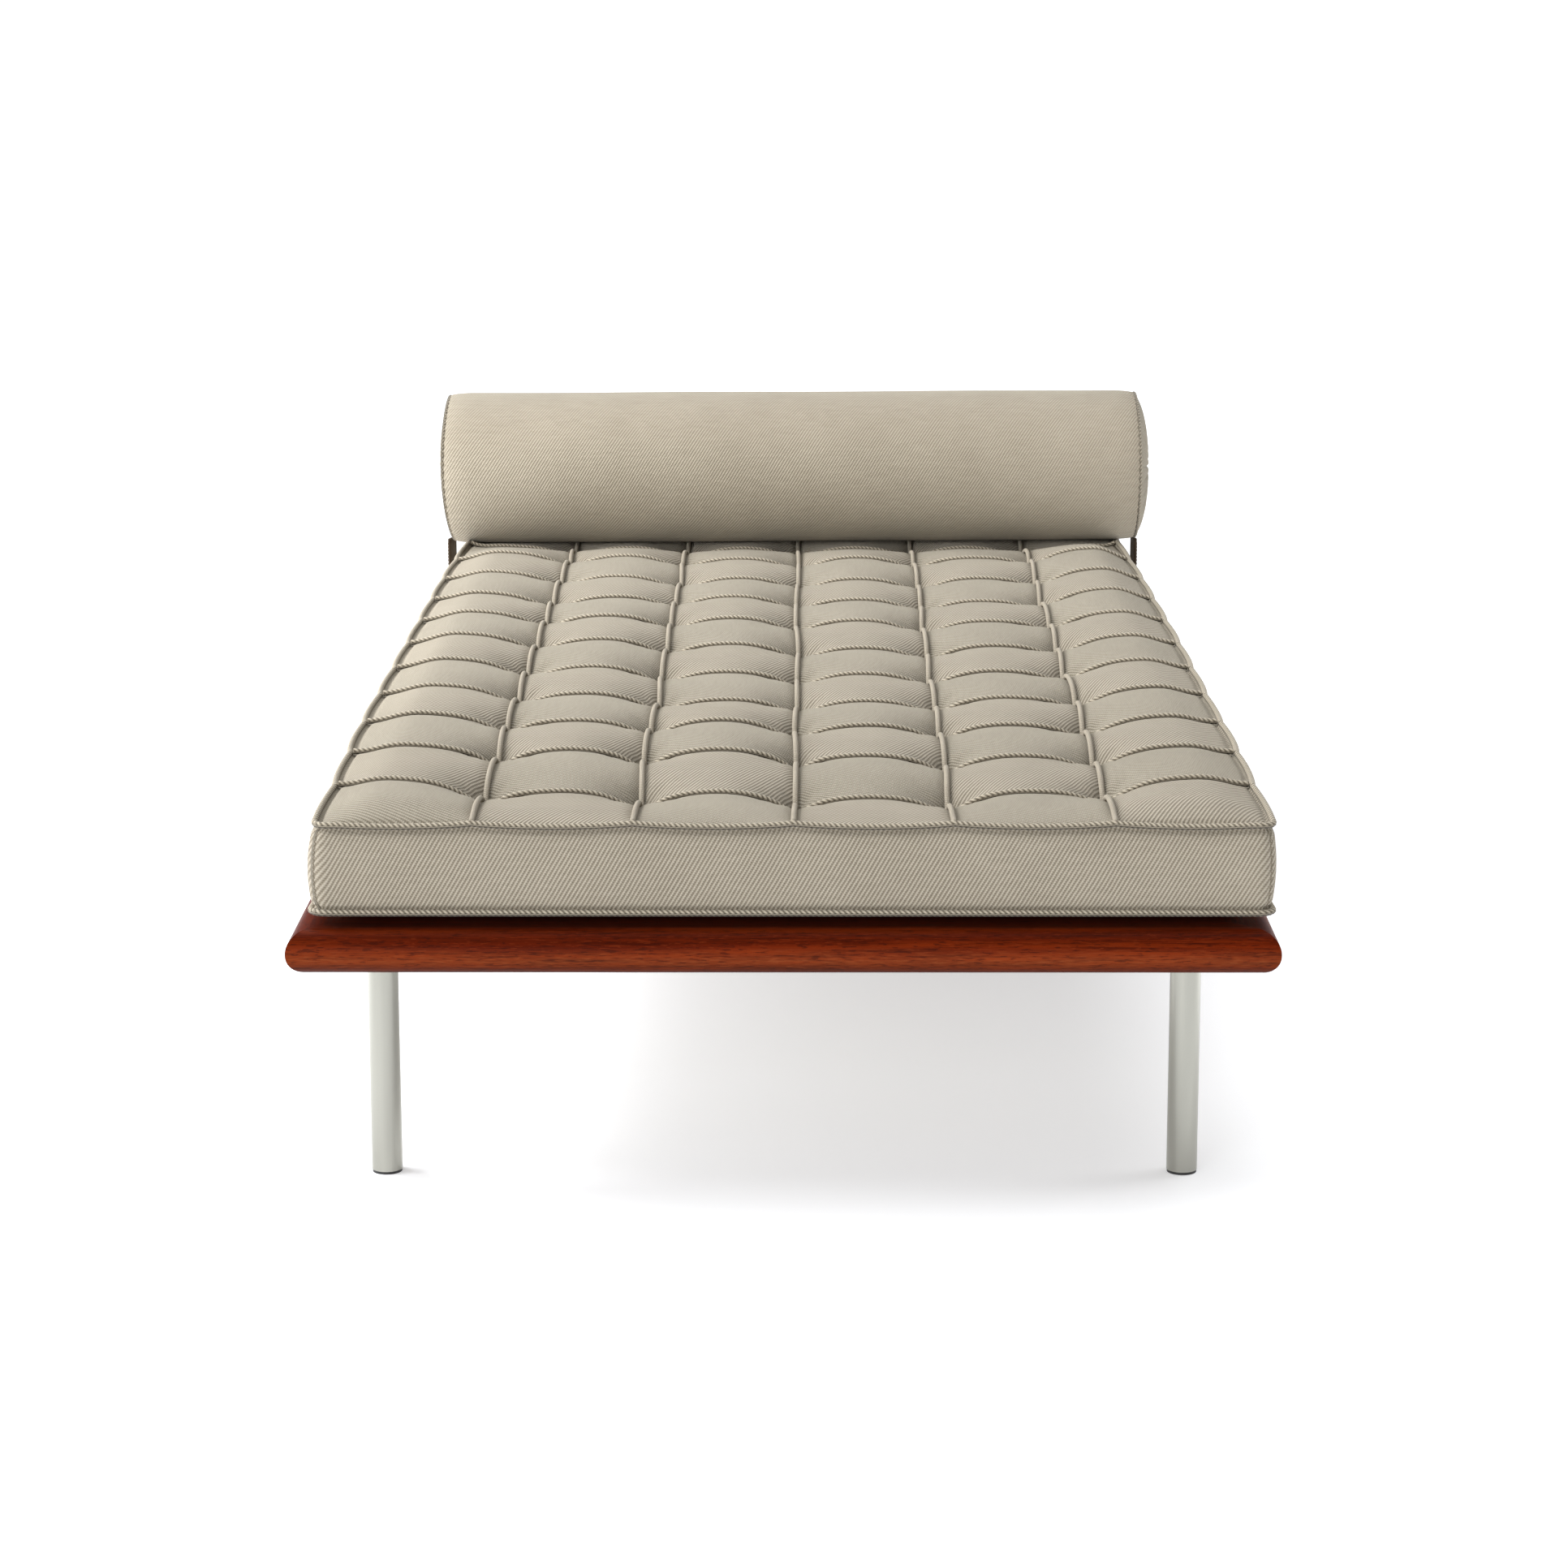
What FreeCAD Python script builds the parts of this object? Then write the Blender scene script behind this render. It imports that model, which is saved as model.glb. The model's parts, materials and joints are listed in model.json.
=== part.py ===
import FreeCAD, Part
import math
import os
import Sketcher

# Daybed: hardwood frame on four tube legs, a tufted mattress and a strapped bolster.
# +X is the width, +Y runs from the foot end to the head end, +Z is up, the floor is z = 0.

Vector = FreeCAD.Vector
os.makedirs("parts", exist_ok=True)
doc = FreeCAD.newDocument("Daybed")

# ---------------------------------------------------------------- driving sizes

SIZES = {
    # frame
    "FrameWidth": 990,
    "FrameLength": 1980,
    "RailWidth": 115,
    "RailThickness": 45,
    "RailBottom": 249,
    "BullnoseRadius": 22,
    "InnerEdgeRadius": 3,
    "MitreOvercut": 2,
    "MitreGlueGap": 0.1,
    "SplineThickness": 6,
    "SplineWidth": 30,
    "SplineLength": 56,
    "SplineRise": 18,
    "SplineFit": 0.1,
    "CrossRailWidth": 70,
    "CrossRailRise": 4,
    "CrossRailHeight": 32,
    "TenonDepth": 20,
    "TenonWidth": 46,
    "TenonHeight": 16,
    "TenonFit": 0.1,
    "RebateWidth": 34,
    "RebateDepth": 7,
    "RebateLength": 1690,
    "CutOverrun": 1,
    # elastic webbing
    "WebbingBandsPerEnd": 5,
    "WebbingWidth": 60,
    "WebbingThickness": 2.5,
    "WebbingOverlap": 30,
    "WebbingFirst": 92,
    "WebbingPitch": 170,
    "WebbingScrewInset": 16,
    "WebbingScrewRadius": 2,
    "WebbingScrewDepth": 18,
    "WebbingHeadRadius": 6,
    "WebbingHeadHeight": 2.5,
    # legs
    "LegRadius": 16,
    "LegWall": 2,
    "LegSpreadX": 414.5,
    "LegSpreadY": 842,
    "GlideThickness": 3,
    "GlideRadius": 15.4,
    "GlideStemHeight": 18,
    "PlugHeight": 30,
    "SlipFit": 0.05,
    "StudRadius": 5,
    "StudDrop": 26,
    "StudRise": 26,
    "InsertRadius": 7.5,
    "InsertHeight": 28,
    "InsertPocketDepth": 30,
    # mattress
    "MattressWidth": 960,
    "MattressLength": 1930,
    "MattressShiftX": 10.5,
    "MattressGap": 0.4,
    "MattressHeight": 104.3,
    "MattressCornerRadius": 14,
    "EdgeLift": 10.3,
    "EdgeLiftRun": 44,
    "ClothThickness": 2,
    "ClothGap": 0.1,
    "NeckGap": 0.3,
    "WeltRadius": 3.75,
    "ColumnCount": 6,
    "RowCount": 12,
    "PitRadius": 18,
    "PitDepth": 26,
    "ButtonRadius": 13,
    "ButtonHalfHeight": 3.5,
    "TuftBoreRadius": 2.5,
    "TuftCordRadius": 1.2,
    "AnchorRadius": 12,
    "AnchorHeight": 3,
    "AnchorPocketRadius": 14,
    "AnchorPocketDepth": 5,
    "GridWeltRadius": 3.5,
    # bolster
    "BolsterRadius": 103,
    "BolsterHalfLength": 493,
    "BolsterAxisY": 855,
    "BolsterRise": 215.5,
    "BolsterDome": 19,
    "DomeCrestShare": 0.6,
    "BolsterWeltRadius": 3.5,
    "EndButtonRadius": 14,
    "EndButtonHeight": 6,
    "EndButtonRecess": 5,
    "EndButtonEdge": 2,
    "EndButtonCrownRadius": 9.8,
    "EndButtonCrownHeight": 4.8,
    # leather straps
    "StrapThickness": 4,
    "StrapWidth": 34,
    "StrapRailGap": 0.5,
    "StrapWeltGap": 1.5,
    "StrapEndRadius": 17,
    "StrapTipFlat": 2,
    "SnapHoleRadius": 6,
    "SnapCapRadius": 7.5,
    "SnapCapHeight": 2,
    "SnapCapBevel": 1,
    "SnapFlangeSink": 0.2,
    "SnapPostGap": 0.3,
    "SnapSleeveRadius": 4.8,
    "SnapPostRadius": 3.9,
    "SnapFlangeRadius": 6,
    "SnapFlangeHeight": 1.5,
    "SnapShankRadius": 1.5,
    "SnapShankLength": 14,
}

sheet = doc.addObject("Spreadsheet::Sheet", "Sizes")
for row, (alias, value) in enumerate(SIZES.items(), start=1):
    sheet.set(f"A{row}", alias)
    sheet.set(f"B{row}", str(value))
    sheet.setAlias(f"B{row}", alias)
doc.recompute()

HALF_W = "Sizes.FrameWidth / 2"
HALF_L = "Sizes.FrameLength / 2"
RAIL_TOP = "(Sizes.RailBottom + Sizes.RailThickness)"
SPLINE_BOTTOM = "(Sizes.RailBottom + Sizes.SplineRise)"
CROSS_RAIL_BOTTOM = "(Sizes.RailBottom + Sizes.CrossRailRise)"
MATTRESS_BOTTOM = f"({RAIL_TOP} + Sizes.MattressGap)"
MATTRESS_TOP = f"({MATTRESS_BOTTOM} + Sizes.MattressHeight)"
BOLSTER_Z = f"({RAIL_TOP} + Sizes.BolsterRise)"
BOLSTER_WELT_LOW = f"({BOLSTER_Z} - Sizes.BolsterRadius - Sizes.BolsterWeltRadius)"
SNAP_Z = "(Sizes.RailBottom + Sizes.RailThickness / 2)"
STRAP_TOP = f"({BOLSTER_WELT_LOW} - Sizes.StrapWeltGap)"
INNER_X = "(Sizes.FrameWidth / 2 - Sizes.RailWidth)"
INNER_Y = "(Sizes.FrameLength / 2 - Sizes.RailWidth)"
COLUMN_PITCH = "(Sizes.MattressWidth / Sizes.ColumnCount)"
ROW_PITCH = "(Sizes.MattressLength / Sizes.RowCount)"
SIDES = {"left": -1, "right": 1}
ENDS = {"foot": -1, "head": 1}
GROUP_COLUMNS = int(SIZES["ColumnCount"]) - 1
GROUP_ROWS = int(SIZES["RowCount"]) - 1
BANDS_PER_END = int(SIZES["WebbingBandsPerEnd"])

# ---------------------------------------------------------------- helpers


def size(expression):
    """The value of a sheet expression in millimetres."""
    result = sheet.evalExpression(str(expression))
    return float(getattr(result, "Value", result))


def new_body(label):
    body = doc.addObject("PartDesign::Body", label)
    body.Label = label
    return body


def place(thing, x="0", y="0", z="0"):
    """Bind a placement to the sheet."""
    for axis, expression in zip("xyz", (x, y, z)):
        if str(expression) != "0":
            thing.setExpression(f".Placement.Base.{axis}", str(expression))


def new_sketch(body, plane, offset="0"):
    sketch = body.newObject("Sketcher::SketchObject", f"{body.Label}_sketch")
    support = [f for f in body.Origin.OriginFeatures if f.Role == plane][0]
    sketch.AttachmentSupport = [(support, "")]
    sketch.MapMode = "FlatFace"
    if str(offset) != "0":
        sketch.setExpression("AttachmentOffset.Base.z", str(offset))
    return sketch


def pin_point(sketch, geometry, point, x, y):
    """Hold one sketch point at two sheet-bound coordinates."""
    vertical_axis, horizontal_axis = -2, -1
    for kind, expression, axis in (
        ("DistanceX", x, vertical_axis),
        ("DistanceY", y, horizontal_axis),
    ):
        value = size(expression)
        if abs(value) < 1e-9:
            sketch.addConstraint(Sketcher.Constraint("PointOnObject", geometry, point, axis))
            continue
        number = sketch.addConstraint(
            Sketcher.Constraint(kind, -1, 1, geometry, point, value)
        )
        sketch.setExpression(f"Constraints[{number}]", str(expression))


def polygon(sketch, corners):
    """A closed outline through corners given as pairs of sheet expressions."""
    spots = [Vector(size(x), size(y), 0) for x, y in corners]
    first = sketch.GeometryCount
    count = len(spots)
    for index in range(count):
        sketch.addGeometry(Part.LineSegment(spots[index], spots[(index + 1) % count]), False)
    for index in range(count):
        following = first + (index + 1) % count
        sketch.addConstraint(Sketcher.Constraint("Coincident", first + index, 2, following, 1))
    for index, (x, y) in enumerate(corners):
        pin_point(sketch, first + index, 1, x, y)


def rectangle(sketch, x_low, x_high, y_low, y_high):
    polygon(sketch, [(x_low, y_low), (x_high, y_low), (x_high, y_high), (x_low, y_high)])


def circle(sketch, x, y, radius):
    spot = Vector(size(x), size(y), 0)
    number = sketch.addGeometry(Part.Circle(spot, Vector(0, 0, 1), size(radius)), False)
    pin_point(sketch, number, 3, x, y)
    held = sketch.addConstraint(Sketcher.Constraint("Radius", number, size(radius)))
    sketch.setExpression(f"Constraints[{held}]", str(radius))


def rounded_loop(sketch, half_x, half_y, radius):
    """A rounded rectangle about the origin that starts on the +X side at y = 0."""
    hx, hy, r = size(half_x), size(half_y), size(radius)
    inner_x, inner_y = f"(({half_x}) - ({radius}))", f"(({half_y}) - ({radius}))"
    stops = [
        (half_x, "0"), (half_x, inner_y),
        (inner_x, half_y), (f"-{inner_x}", half_y),
        (f"-({half_x})", inner_y), (f"-({half_x})", f"-{inner_y}"),
        (f"-{inner_x}", f"-({half_y})"), (inner_x, f"-({half_y})"),
        (half_x, f"-{inner_y}"),
    ]
    spots = [Vector(size(x), size(y), 0) for x, y in stops]
    middle = math.sqrt(0.5) * r
    count = len(stops)
    for index in range(count):
        start, end = spots[index], spots[(index + 1) % count]
        is_corner = index in (1, 3, 5, 7)
        if is_corner:
            sign_x = 1 if (start.x + end.x) > 0 else -1
            sign_y = 1 if (start.y + end.y) > 0 else -1
            bulge = Vector(sign_x * (hx - r + middle), sign_y * (hy - r + middle), 0)
            number = sketch.addGeometry(Part.Arc(start, bulge, end), False)
            pin_point(sketch, number, 3, f"{sign_x} * {inner_x}", f"{sign_y} * {inner_y}")
        else:
            number = sketch.addGeometry(Part.LineSegment(start, end), False)
            pin_point(sketch, number, 1, *stops[index])
            if index < count - 1:
                pin_point(sketch, number, 2, *stops[index + 1])


def pad(body, sketch, length, midplane=False, reverse=False):
    feature = body.newObject("PartDesign::Pad", f"{body.Label}_pad")
    feature.Profile = sketch
    feature.setExpression("Length", str(length))
    feature.Midplane = midplane
    feature.Reversed = reverse
    doc.recompute()
    return feature


def pocket(body, sketch, length=None, midplane=False, reverse=False):
    """Cut a sketch into a body and make sure that it removed material."""
    before = body.Shape.Volume
    feature = body.newObject("PartDesign::Pocket", f"{body.Label}_pocket")
    feature.Profile = sketch
    if length is None:
        feature.Type = "ThroughAll"
    else:
        feature.setExpression("Length", str(length))
    feature.Midplane = midplane
    feature.Reversed = reverse
    doc.recompute()
    if body.Shape.Volume >= before:
        raise ValueError(f"{feature.Name} removed nothing")
    return feature


def revolve(body, sketch):
    """Turn a sketch on the XZ plane about the body's own Z axis."""
    feature = body.newObject("PartDesign::Revolution", f"{body.Label}_turning")
    feature.Profile = sketch
    feature.ReferenceAxis = (sketch, ["V_Axis"])
    feature.Angle = 360
    doc.recompute()
    return feature


def edges_where(shape, test):
    return [f"Edge{n}" for n, edge in enumerate(shape.Edges, start=1) if test(edge)]


def round_edges(body, radius, test):
    base = body.Tip
    feature = body.newObject("PartDesign::Fillet", f"{body.Label}_rounding")
    feature.Base = (base, edges_where(base.Shape, test))
    feature.setExpression("Radius", str(radius))
    doc.recompute()
    return feature


def grid_pattern(body, cut, columns, rows):
    """Repeat one cut over the tufting grid."""
    spread = body.newObject("PartDesign::MultiTransform", f"{body.Label}_grid")
    steps = []
    for role, pitch, count in (
        ("X_Axis", COLUMN_PITCH, columns),
        ("Y_Axis", ROW_PITCH, rows),
    ):
        axis = [f for f in body.Origin.OriginFeatures if f.Role == role][0]
        step = body.newObject("PartDesign::LinearPattern", f"{body.Label}_step")
        step.Direction = (axis, [""])
        step.setExpression("Length", f"{pitch} * {count - 1}")
        step.Occurrences = count
        steps.append(step)
    spread.Originals = [cut]
    spread.Transformations = steps
    body.Tip = spread
    doc.recompute()
    return spread


nodes = []


def finish(thing):
    """Enter a finished sub-part in the list of parts."""
    nodes.append(thing)
    return thing


def finish_mattress(thing):
    """Enter a mattress part, laid off centre with the rest of the mattress."""
    place(thing, "Sizes.MattressShiftX")
    return finish(thing)


def group(label, members):
    """Several loose solids of one kind in one sub-part."""
    bundle = doc.addObject("Part::Compound", label)
    bundle.Label = label
    bundle.Links = members
    return bundle


def rod(name, radius, length, x, y, z, axis="Z"):
    """A Part cylinder that starts at x, y, z and runs along one axis."""
    turn = {"Z": (Vector(0, 0, 1), 0), "X": (Vector(0, 1, 0), 90), "Y": (Vector(1, 0, 0), -90)}
    thing = doc.addObject("Part::Cylinder", name)
    thing.setExpression("Radius", str(radius))
    thing.setExpression("Height", str(length))
    thing.Placement = FreeCAD.Placement(Vector(), FreeCAD.Rotation(*turn[axis]))
    place(thing, x, y, z)
    return thing


# ---------------------------------------------------------------- frame rails


def cut_mitres(body, along):
    """Trim both ends of a rail at 45 degrees, with half the glue line off each face."""
    over = "Sizes.MitreOvercut"
    gap = "Sizes.MitreGlueGap / 2"
    sketch = new_sketch(body, "XY_Plane")
    side = 1 if body.Shape.CenterOfGravity[0 if along == "Y" else 1] > 0 else -1
    for end in (-1, 1):
        if along == "Y":
            inner = (f"{side} * ({INNER_X} - {over})", f"{end} * ({INNER_Y} - {over} - {gap})")
            outer = (f"{side} * ({HALF_W} + {over})", f"{end} * ({HALF_L} + {over} - {gap})")
            square = (f"{side} * ({INNER_X} - {over})", f"{end} * ({HALF_L} + {over} - {gap})")
        else:
            inner = (f"{end} * ({INNER_X} - {over} - {gap})", f"{side} * ({INNER_Y} - {over})")
            outer = (f"{end} * ({HALF_W} + {over} - {gap})", f"{side} * ({HALF_L} + {over})")
            square = (f"{end} * ({HALF_W} + {over} - {gap})", f"{side} * ({INNER_Y} - {over})")
        polygon(sketch, [inner, outer, square])
    pocket(body, sketch, midplane=True)


def spline_outline(sign_x, sign_y, fit):
    """The four corners of the spline that crosses one mitre, as sheet expressions."""
    centre_x = f"({HALF_W} - Sizes.RailWidth / 2)"
    centre_y = f"({HALF_L} - Sizes.RailWidth / 2)"
    long_half = f"((Sizes.SplineLength / 2 + {fit}) * sqrt(0.5))"
    wide_half = f"((Sizes.SplineWidth / 2 + {fit}) * sqrt(0.5))"
    corners = []
    for along, across in ((1, 1), (1, -1), (-1, -1), (-1, 1)):
        x = f"{sign_x} * ({centre_x} + {along} * {long_half} + {across} * {wide_half})"
        y = f"{sign_y} * ({centre_y} + {along} * {long_half} - {across} * {wide_half})"
        corners.append((x, y))
    return corners


def cut_spline_slots(body, corners_at):
    sketch = new_sketch(body, "XY_Plane", f"{SPLINE_BOTTOM} - Sizes.SplineFit")
    for sign_x, sign_y in corners_at:
        polygon(sketch, spline_outline(sign_x, sign_y, "Sizes.SplineFit"))
    pocket(body, sketch, "Sizes.SplineThickness + 2 * Sizes.SplineFit", reverse=True)


def runs_along(edge, axis):
    direction = edge.Vertexes[-1].Point - edge.Vertexes[0].Point
    return direction.Length > 1 and abs(abs(direction.normalize().dot(axis)) - 1) < 1e-6


def end_rail(name, side):
    body = new_body(f"{name}_end_rail")
    sketch = new_sketch(body, "YZ_Plane")
    rectangle(sketch, f"{side} * {INNER_Y}", f"{side} * {HALF_L}", "Sizes.RailBottom", RAIL_TOP)
    pad(body, sketch, "Sizes.FrameWidth", midplane=True)
    outer = side * size(HALF_L)
    inner = side * size(INNER_Y)
    along = Vector(1, 0, 0)
    round_edges(body, "Sizes.BullnoseRadius",
                lambda e: runs_along(e, along) and abs(e.CenterOfMass.y - outer) < 0.1)
    round_edges(body, "Sizes.InnerEdgeRadius",
                lambda e: runs_along(e, along) and abs(e.CenterOfMass.y - inner) < 0.1)
    cut_mitres(body, "X")
    cut_spline_slots(body, [(-1, side), (1, side)])
    finish(body)


def side_rail(name, side):
    body = new_body(f"{name}_side_rail")
    sketch = new_sketch(body, "XZ_Plane")
    rectangle(sketch, f"{side} * {INNER_X}", f"{side} * {HALF_W}", "Sizes.RailBottom", RAIL_TOP)
    pad(body, sketch, "Sizes.FrameLength", midplane=True)
    outer = side * size(HALF_W)
    inner = side * size(INNER_X)
    along = Vector(0, 1, 0)
    round_edges(body, "Sizes.BullnoseRadius",
                lambda e: runs_along(e, along) and abs(e.CenterOfMass.x - outer) < 0.1)
    round_edges(body, "Sizes.InnerEdgeRadius",
                lambda e: runs_along(e, along) and abs(e.CenterOfMass.x - inner) < 0.1)
    cut_mitres(body, "Y")
    cut_spline_slots(body, [(side, -1), (side, 1)])

    rebate = new_sketch(body, "XZ_Plane")
    rectangle(
        rebate,
        f"{side} * ({INNER_X} - Sizes.MitreOvercut)",
        f"{side} * ({INNER_X} + Sizes.RebateWidth)",
        f"{RAIL_TOP} - Sizes.RebateDepth",
        f"{RAIL_TOP} + Sizes.MitreOvercut",
    )
    pocket(body, rebate, "Sizes.RebateLength", midplane=True)

    mortise = new_sketch(body, "XZ_Plane")
    tenon_middle = f"({CROSS_RAIL_BOTTOM} + Sizes.CrossRailHeight / 2)"
    rectangle(
        mortise,
        f"{side} * ({INNER_X} - Sizes.MitreOvercut)",
        f"{side} * ({INNER_X} + Sizes.TenonDepth + Sizes.TenonFit)",
        f"{tenon_middle} - Sizes.TenonHeight / 2 - Sizes.TenonFit",
        f"{tenon_middle} + Sizes.TenonHeight / 2 + Sizes.TenonFit",
    )
    pocket(body, mortise, "Sizes.TenonWidth + 2 * Sizes.TenonFit", midplane=True)

    inserts = new_sketch(body, "XY_Plane", "Sizes.RailBottom")
    for end in (-1, 1):
        circle(inserts, f"{side} * Sizes.LegSpreadX", f"{end} * Sizes.LegSpreadY",
               "Sizes.InsertRadius + Sizes.SlipFit")
    pocket(body, inserts, "Sizes.InsertPocketDepth", reverse=True)

    screws = new_sketch(body, "XY_Plane", f"{RAIL_TOP} - Sizes.RebateDepth")
    for position in webbing_positions():
        circle(screws, f"{side} * ({INNER_X} + Sizes.WebbingScrewInset)", position,
               "Sizes.WebbingScrewRadius + Sizes.SlipFit")
    pocket(body, screws, "Sizes.WebbingScrewDepth + Sizes.SlipFit")

    for radius, depth in (
        ("Sizes.SnapFlangeRadius + Sizes.SlipFit", "Sizes.SnapFlangeHeight + Sizes.SlipFit"),
        ("Sizes.SnapShankRadius + Sizes.SlipFit",
         "Sizes.SnapFlangeHeight + Sizes.SnapShankLength + Sizes.SlipFit"),
    ):
        stud = new_sketch(body, "YZ_Plane", f"{side} * {HALF_W}")
        circle(stud, "Sizes.BolsterAxisY", SNAP_Z, radius)
        pocket(body, stud, depth, reverse=side < 0)
    finish(body)


def webbing_positions():
    """The y positions of the webbing bands, counted out from the cross rail."""
    spots = []
    for end in (-1, 1):
        for step in range(BANDS_PER_END):
            spots.append(f"{end} * (Sizes.WebbingFirst + {step} * Sizes.WebbingPitch)")
    return sorted(spots, key=size)


for end_name, end_sign in ENDS.items():
    end_rail(end_name, end_sign)
for side_name, side_sign in SIDES.items():
    side_rail(side_name, side_sign)

for end_name, end_sign in ENDS.items():
    for side_name, side_sign in SIDES.items():
        spline = new_body(f"mitre_spline_{end_name}_{side_name}")
        outline = new_sketch(spline, "XY_Plane", SPLINE_BOTTOM)
        polygon(outline, spline_outline(side_sign, end_sign, "0"))
        pad(spline, outline, "Sizes.SplineThickness")
        finish(spline)

cross_rail = new_body("centre_cross_rail")
cross_outline = new_sketch(cross_rail, "XZ_Plane")
rectangle(cross_outline, f"-({INNER_X} - Sizes.TenonFit)", f"{INNER_X} - Sizes.TenonFit",
          CROSS_RAIL_BOTTOM, f"{CROSS_RAIL_BOTTOM} + Sizes.CrossRailHeight")
pad(cross_rail, cross_outline, "Sizes.CrossRailWidth", midplane=True)
tenon_outline = new_sketch(cross_rail, "XZ_Plane")
TENON_LOW = f"({CROSS_RAIL_BOTTOM} + Sizes.CrossRailHeight / 2 - Sizes.TenonHeight / 2)"
rectangle(tenon_outline,
          f"-({INNER_X} + Sizes.TenonDepth - Sizes.TenonFit)",
          f"{INNER_X} + Sizes.TenonDepth - Sizes.TenonFit",
          TENON_LOW, f"{TENON_LOW} + Sizes.TenonHeight")
pad(cross_rail, tenon_outline, "Sizes.TenonWidth", midplane=True)
finish(cross_rail)

# ---------------------------------------------------------------- elastic webbing

REBATE_FLOOR = f"({RAIL_TOP} - Sizes.RebateDepth)"
webbing_screws = []
for number, position in enumerate(webbing_positions(), start=1):
    band = new_body(f"webbing_band_{number:02d}")
    band_outline = new_sketch(band, "XZ_Plane")
    rectangle(band_outline,
              f"-({INNER_X} + Sizes.WebbingOverlap)", f"{INNER_X} + Sizes.WebbingOverlap",
              REBATE_FLOOR, f"{REBATE_FLOOR} + Sizes.WebbingThickness")
    pad(band, band_outline, "Sizes.WebbingWidth", midplane=True)
    holes = new_sketch(band, "XY_Plane", f"{REBATE_FLOOR} + Sizes.WebbingThickness")
    for side_sign in SIDES.values():
        circle(holes, f"{side_sign} * ({INNER_X} + Sizes.WebbingScrewInset)", "0",
               "Sizes.WebbingScrewRadius + Sizes.SlipFit")
    pocket(band, holes, "Sizes.WebbingThickness + Sizes.CutOverrun")
    place(band, y=position)
    finish(band)

    for side_sign in SIDES.values():
        spot_x = f"{side_sign} * ({INNER_X} + Sizes.WebbingScrewInset)"
        shank = rod("screw_shank", "Sizes.WebbingScrewRadius",
                    "Sizes.WebbingScrewDepth + Sizes.WebbingThickness",
                    spot_x, position, f"{REBATE_FLOOR} - Sizes.WebbingScrewDepth")
        head = rod("screw_head", "Sizes.WebbingHeadRadius", "Sizes.WebbingHeadHeight",
                   spot_x, position, f"{REBATE_FLOOR} + Sizes.WebbingThickness")
        screw = doc.addObject("Part::Fuse", "webbing_screw")
        screw.Base = shank
        screw.Tool = head
        webbing_screws.append(screw)
finish(group("webbing_screws", webbing_screws))

# ---------------------------------------------------------------- legs

BORE_RADIUS = "(Sizes.LegRadius - Sizes.LegWall)"
leg_studs = []
leg_inserts = []
for end_name, end_sign in ENDS.items():
    for side_name, side_sign in SIDES.items():
        leg_x = f"{side_sign} * Sizes.LegSpreadX"
        leg_y = f"{end_sign} * Sizes.LegSpreadY"

        tube = new_body(f"leg_tube_{end_name}_{side_name}")
        wall = new_sketch(tube, "XZ_Plane")
        rectangle(wall, BORE_RADIUS, "Sizes.LegRadius", "Sizes.GlideThickness",
                  "Sizes.RailBottom")
        revolve(tube, wall)
        place(tube, leg_x, leg_y)
        finish(tube)

        plug = new_body(f"leg_plug_{end_name}_{side_name}")
        ring = new_sketch(plug, "XZ_Plane")
        rectangle(ring, "Sizes.StudRadius + Sizes.SlipFit", f"{BORE_RADIUS} - Sizes.SlipFit",
                  "Sizes.RailBottom - Sizes.PlugHeight", "Sizes.RailBottom")
        revolve(plug, ring)
        place(plug, leg_x, leg_y)
        finish(plug)

        glide = new_body(f"foot_glide_{end_name}_{side_name}")
        section = new_sketch(glide, "XZ_Plane")
        polygon(section, [
            ("0", "0"),
            ("Sizes.GlideRadius", "0"),
            ("Sizes.GlideRadius", "Sizes.GlideThickness"),
            (f"{BORE_RADIUS} - Sizes.SlipFit", "Sizes.GlideThickness"),
            (f"{BORE_RADIUS} - Sizes.SlipFit", "Sizes.GlideStemHeight"),
            ("0", "Sizes.GlideStemHeight"),
        ])
        revolve(glide, section)
        place(glide, leg_x, leg_y)
        finish(glide)

        leg_studs.append(rod("leg_stud", "Sizes.StudRadius",
                             "Sizes.StudDrop + Sizes.StudRise",
                             leg_x, leg_y, "Sizes.RailBottom - Sizes.StudDrop"))
        sleeve = rod("insert_sleeve", "Sizes.InsertRadius", "Sizes.InsertHeight",
                     leg_x, leg_y, "Sizes.RailBottom")
        bore = rod("insert_bore", "Sizes.StudRadius + Sizes.SlipFit",
                   "Sizes.InsertHeight + 2 * Sizes.CutOverrun", leg_x, leg_y,
                   "Sizes.RailBottom - Sizes.CutOverrun")
        insert = doc.addObject("Part::Cut", "leg_insert")
        insert.Base = sleeve
        insert.Tool = bore
        leg_inserts.append(insert)
finish(group("leg_studs", leg_studs))
finish(group("leg_inserts", leg_inserts))

# ---------------------------------------------------------------- mattress

# Cloth faces sit one welt radius inside the outline that the welts draw.
CLOTH_X = "(Sizes.MattressWidth / 2 - Sizes.WeltRadius)"
CLOTH_Y = "(Sizes.MattressLength / 2 - Sizes.WeltRadius)"
CORE_X = f"({CLOTH_X} - Sizes.ClothThickness - Sizes.ClothGap)"
CORE_Y = f"({CLOTH_Y} - Sizes.ClothThickness - Sizes.ClothGap)"
CORE_BOTTOM = f"({MATTRESS_BOTTOM} + Sizes.ClothThickness + Sizes.ClothGap)"
CORE_TOP = f"({MATTRESS_TOP} - Sizes.ClothThickness - Sizes.ClothGap)"
EDGE_BOTTOM = f"({MATTRESS_BOTTOM} + Sizes.EdgeLift)"
LOW_WELT_Z = f"({EDGE_BOTTOM} + Sizes.WeltRadius)"
HIGH_WELT_Z = f"({MATTRESS_TOP} - Sizes.ClothThickness)"
BOXING_LOW = f"({LOW_WELT_Z} + Sizes.WeltRadius + Sizes.ClothGap)"
BOXING_HIGH = f"({HIGH_WELT_Z} - Sizes.WeltRadius - Sizes.ClothGap)"
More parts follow.
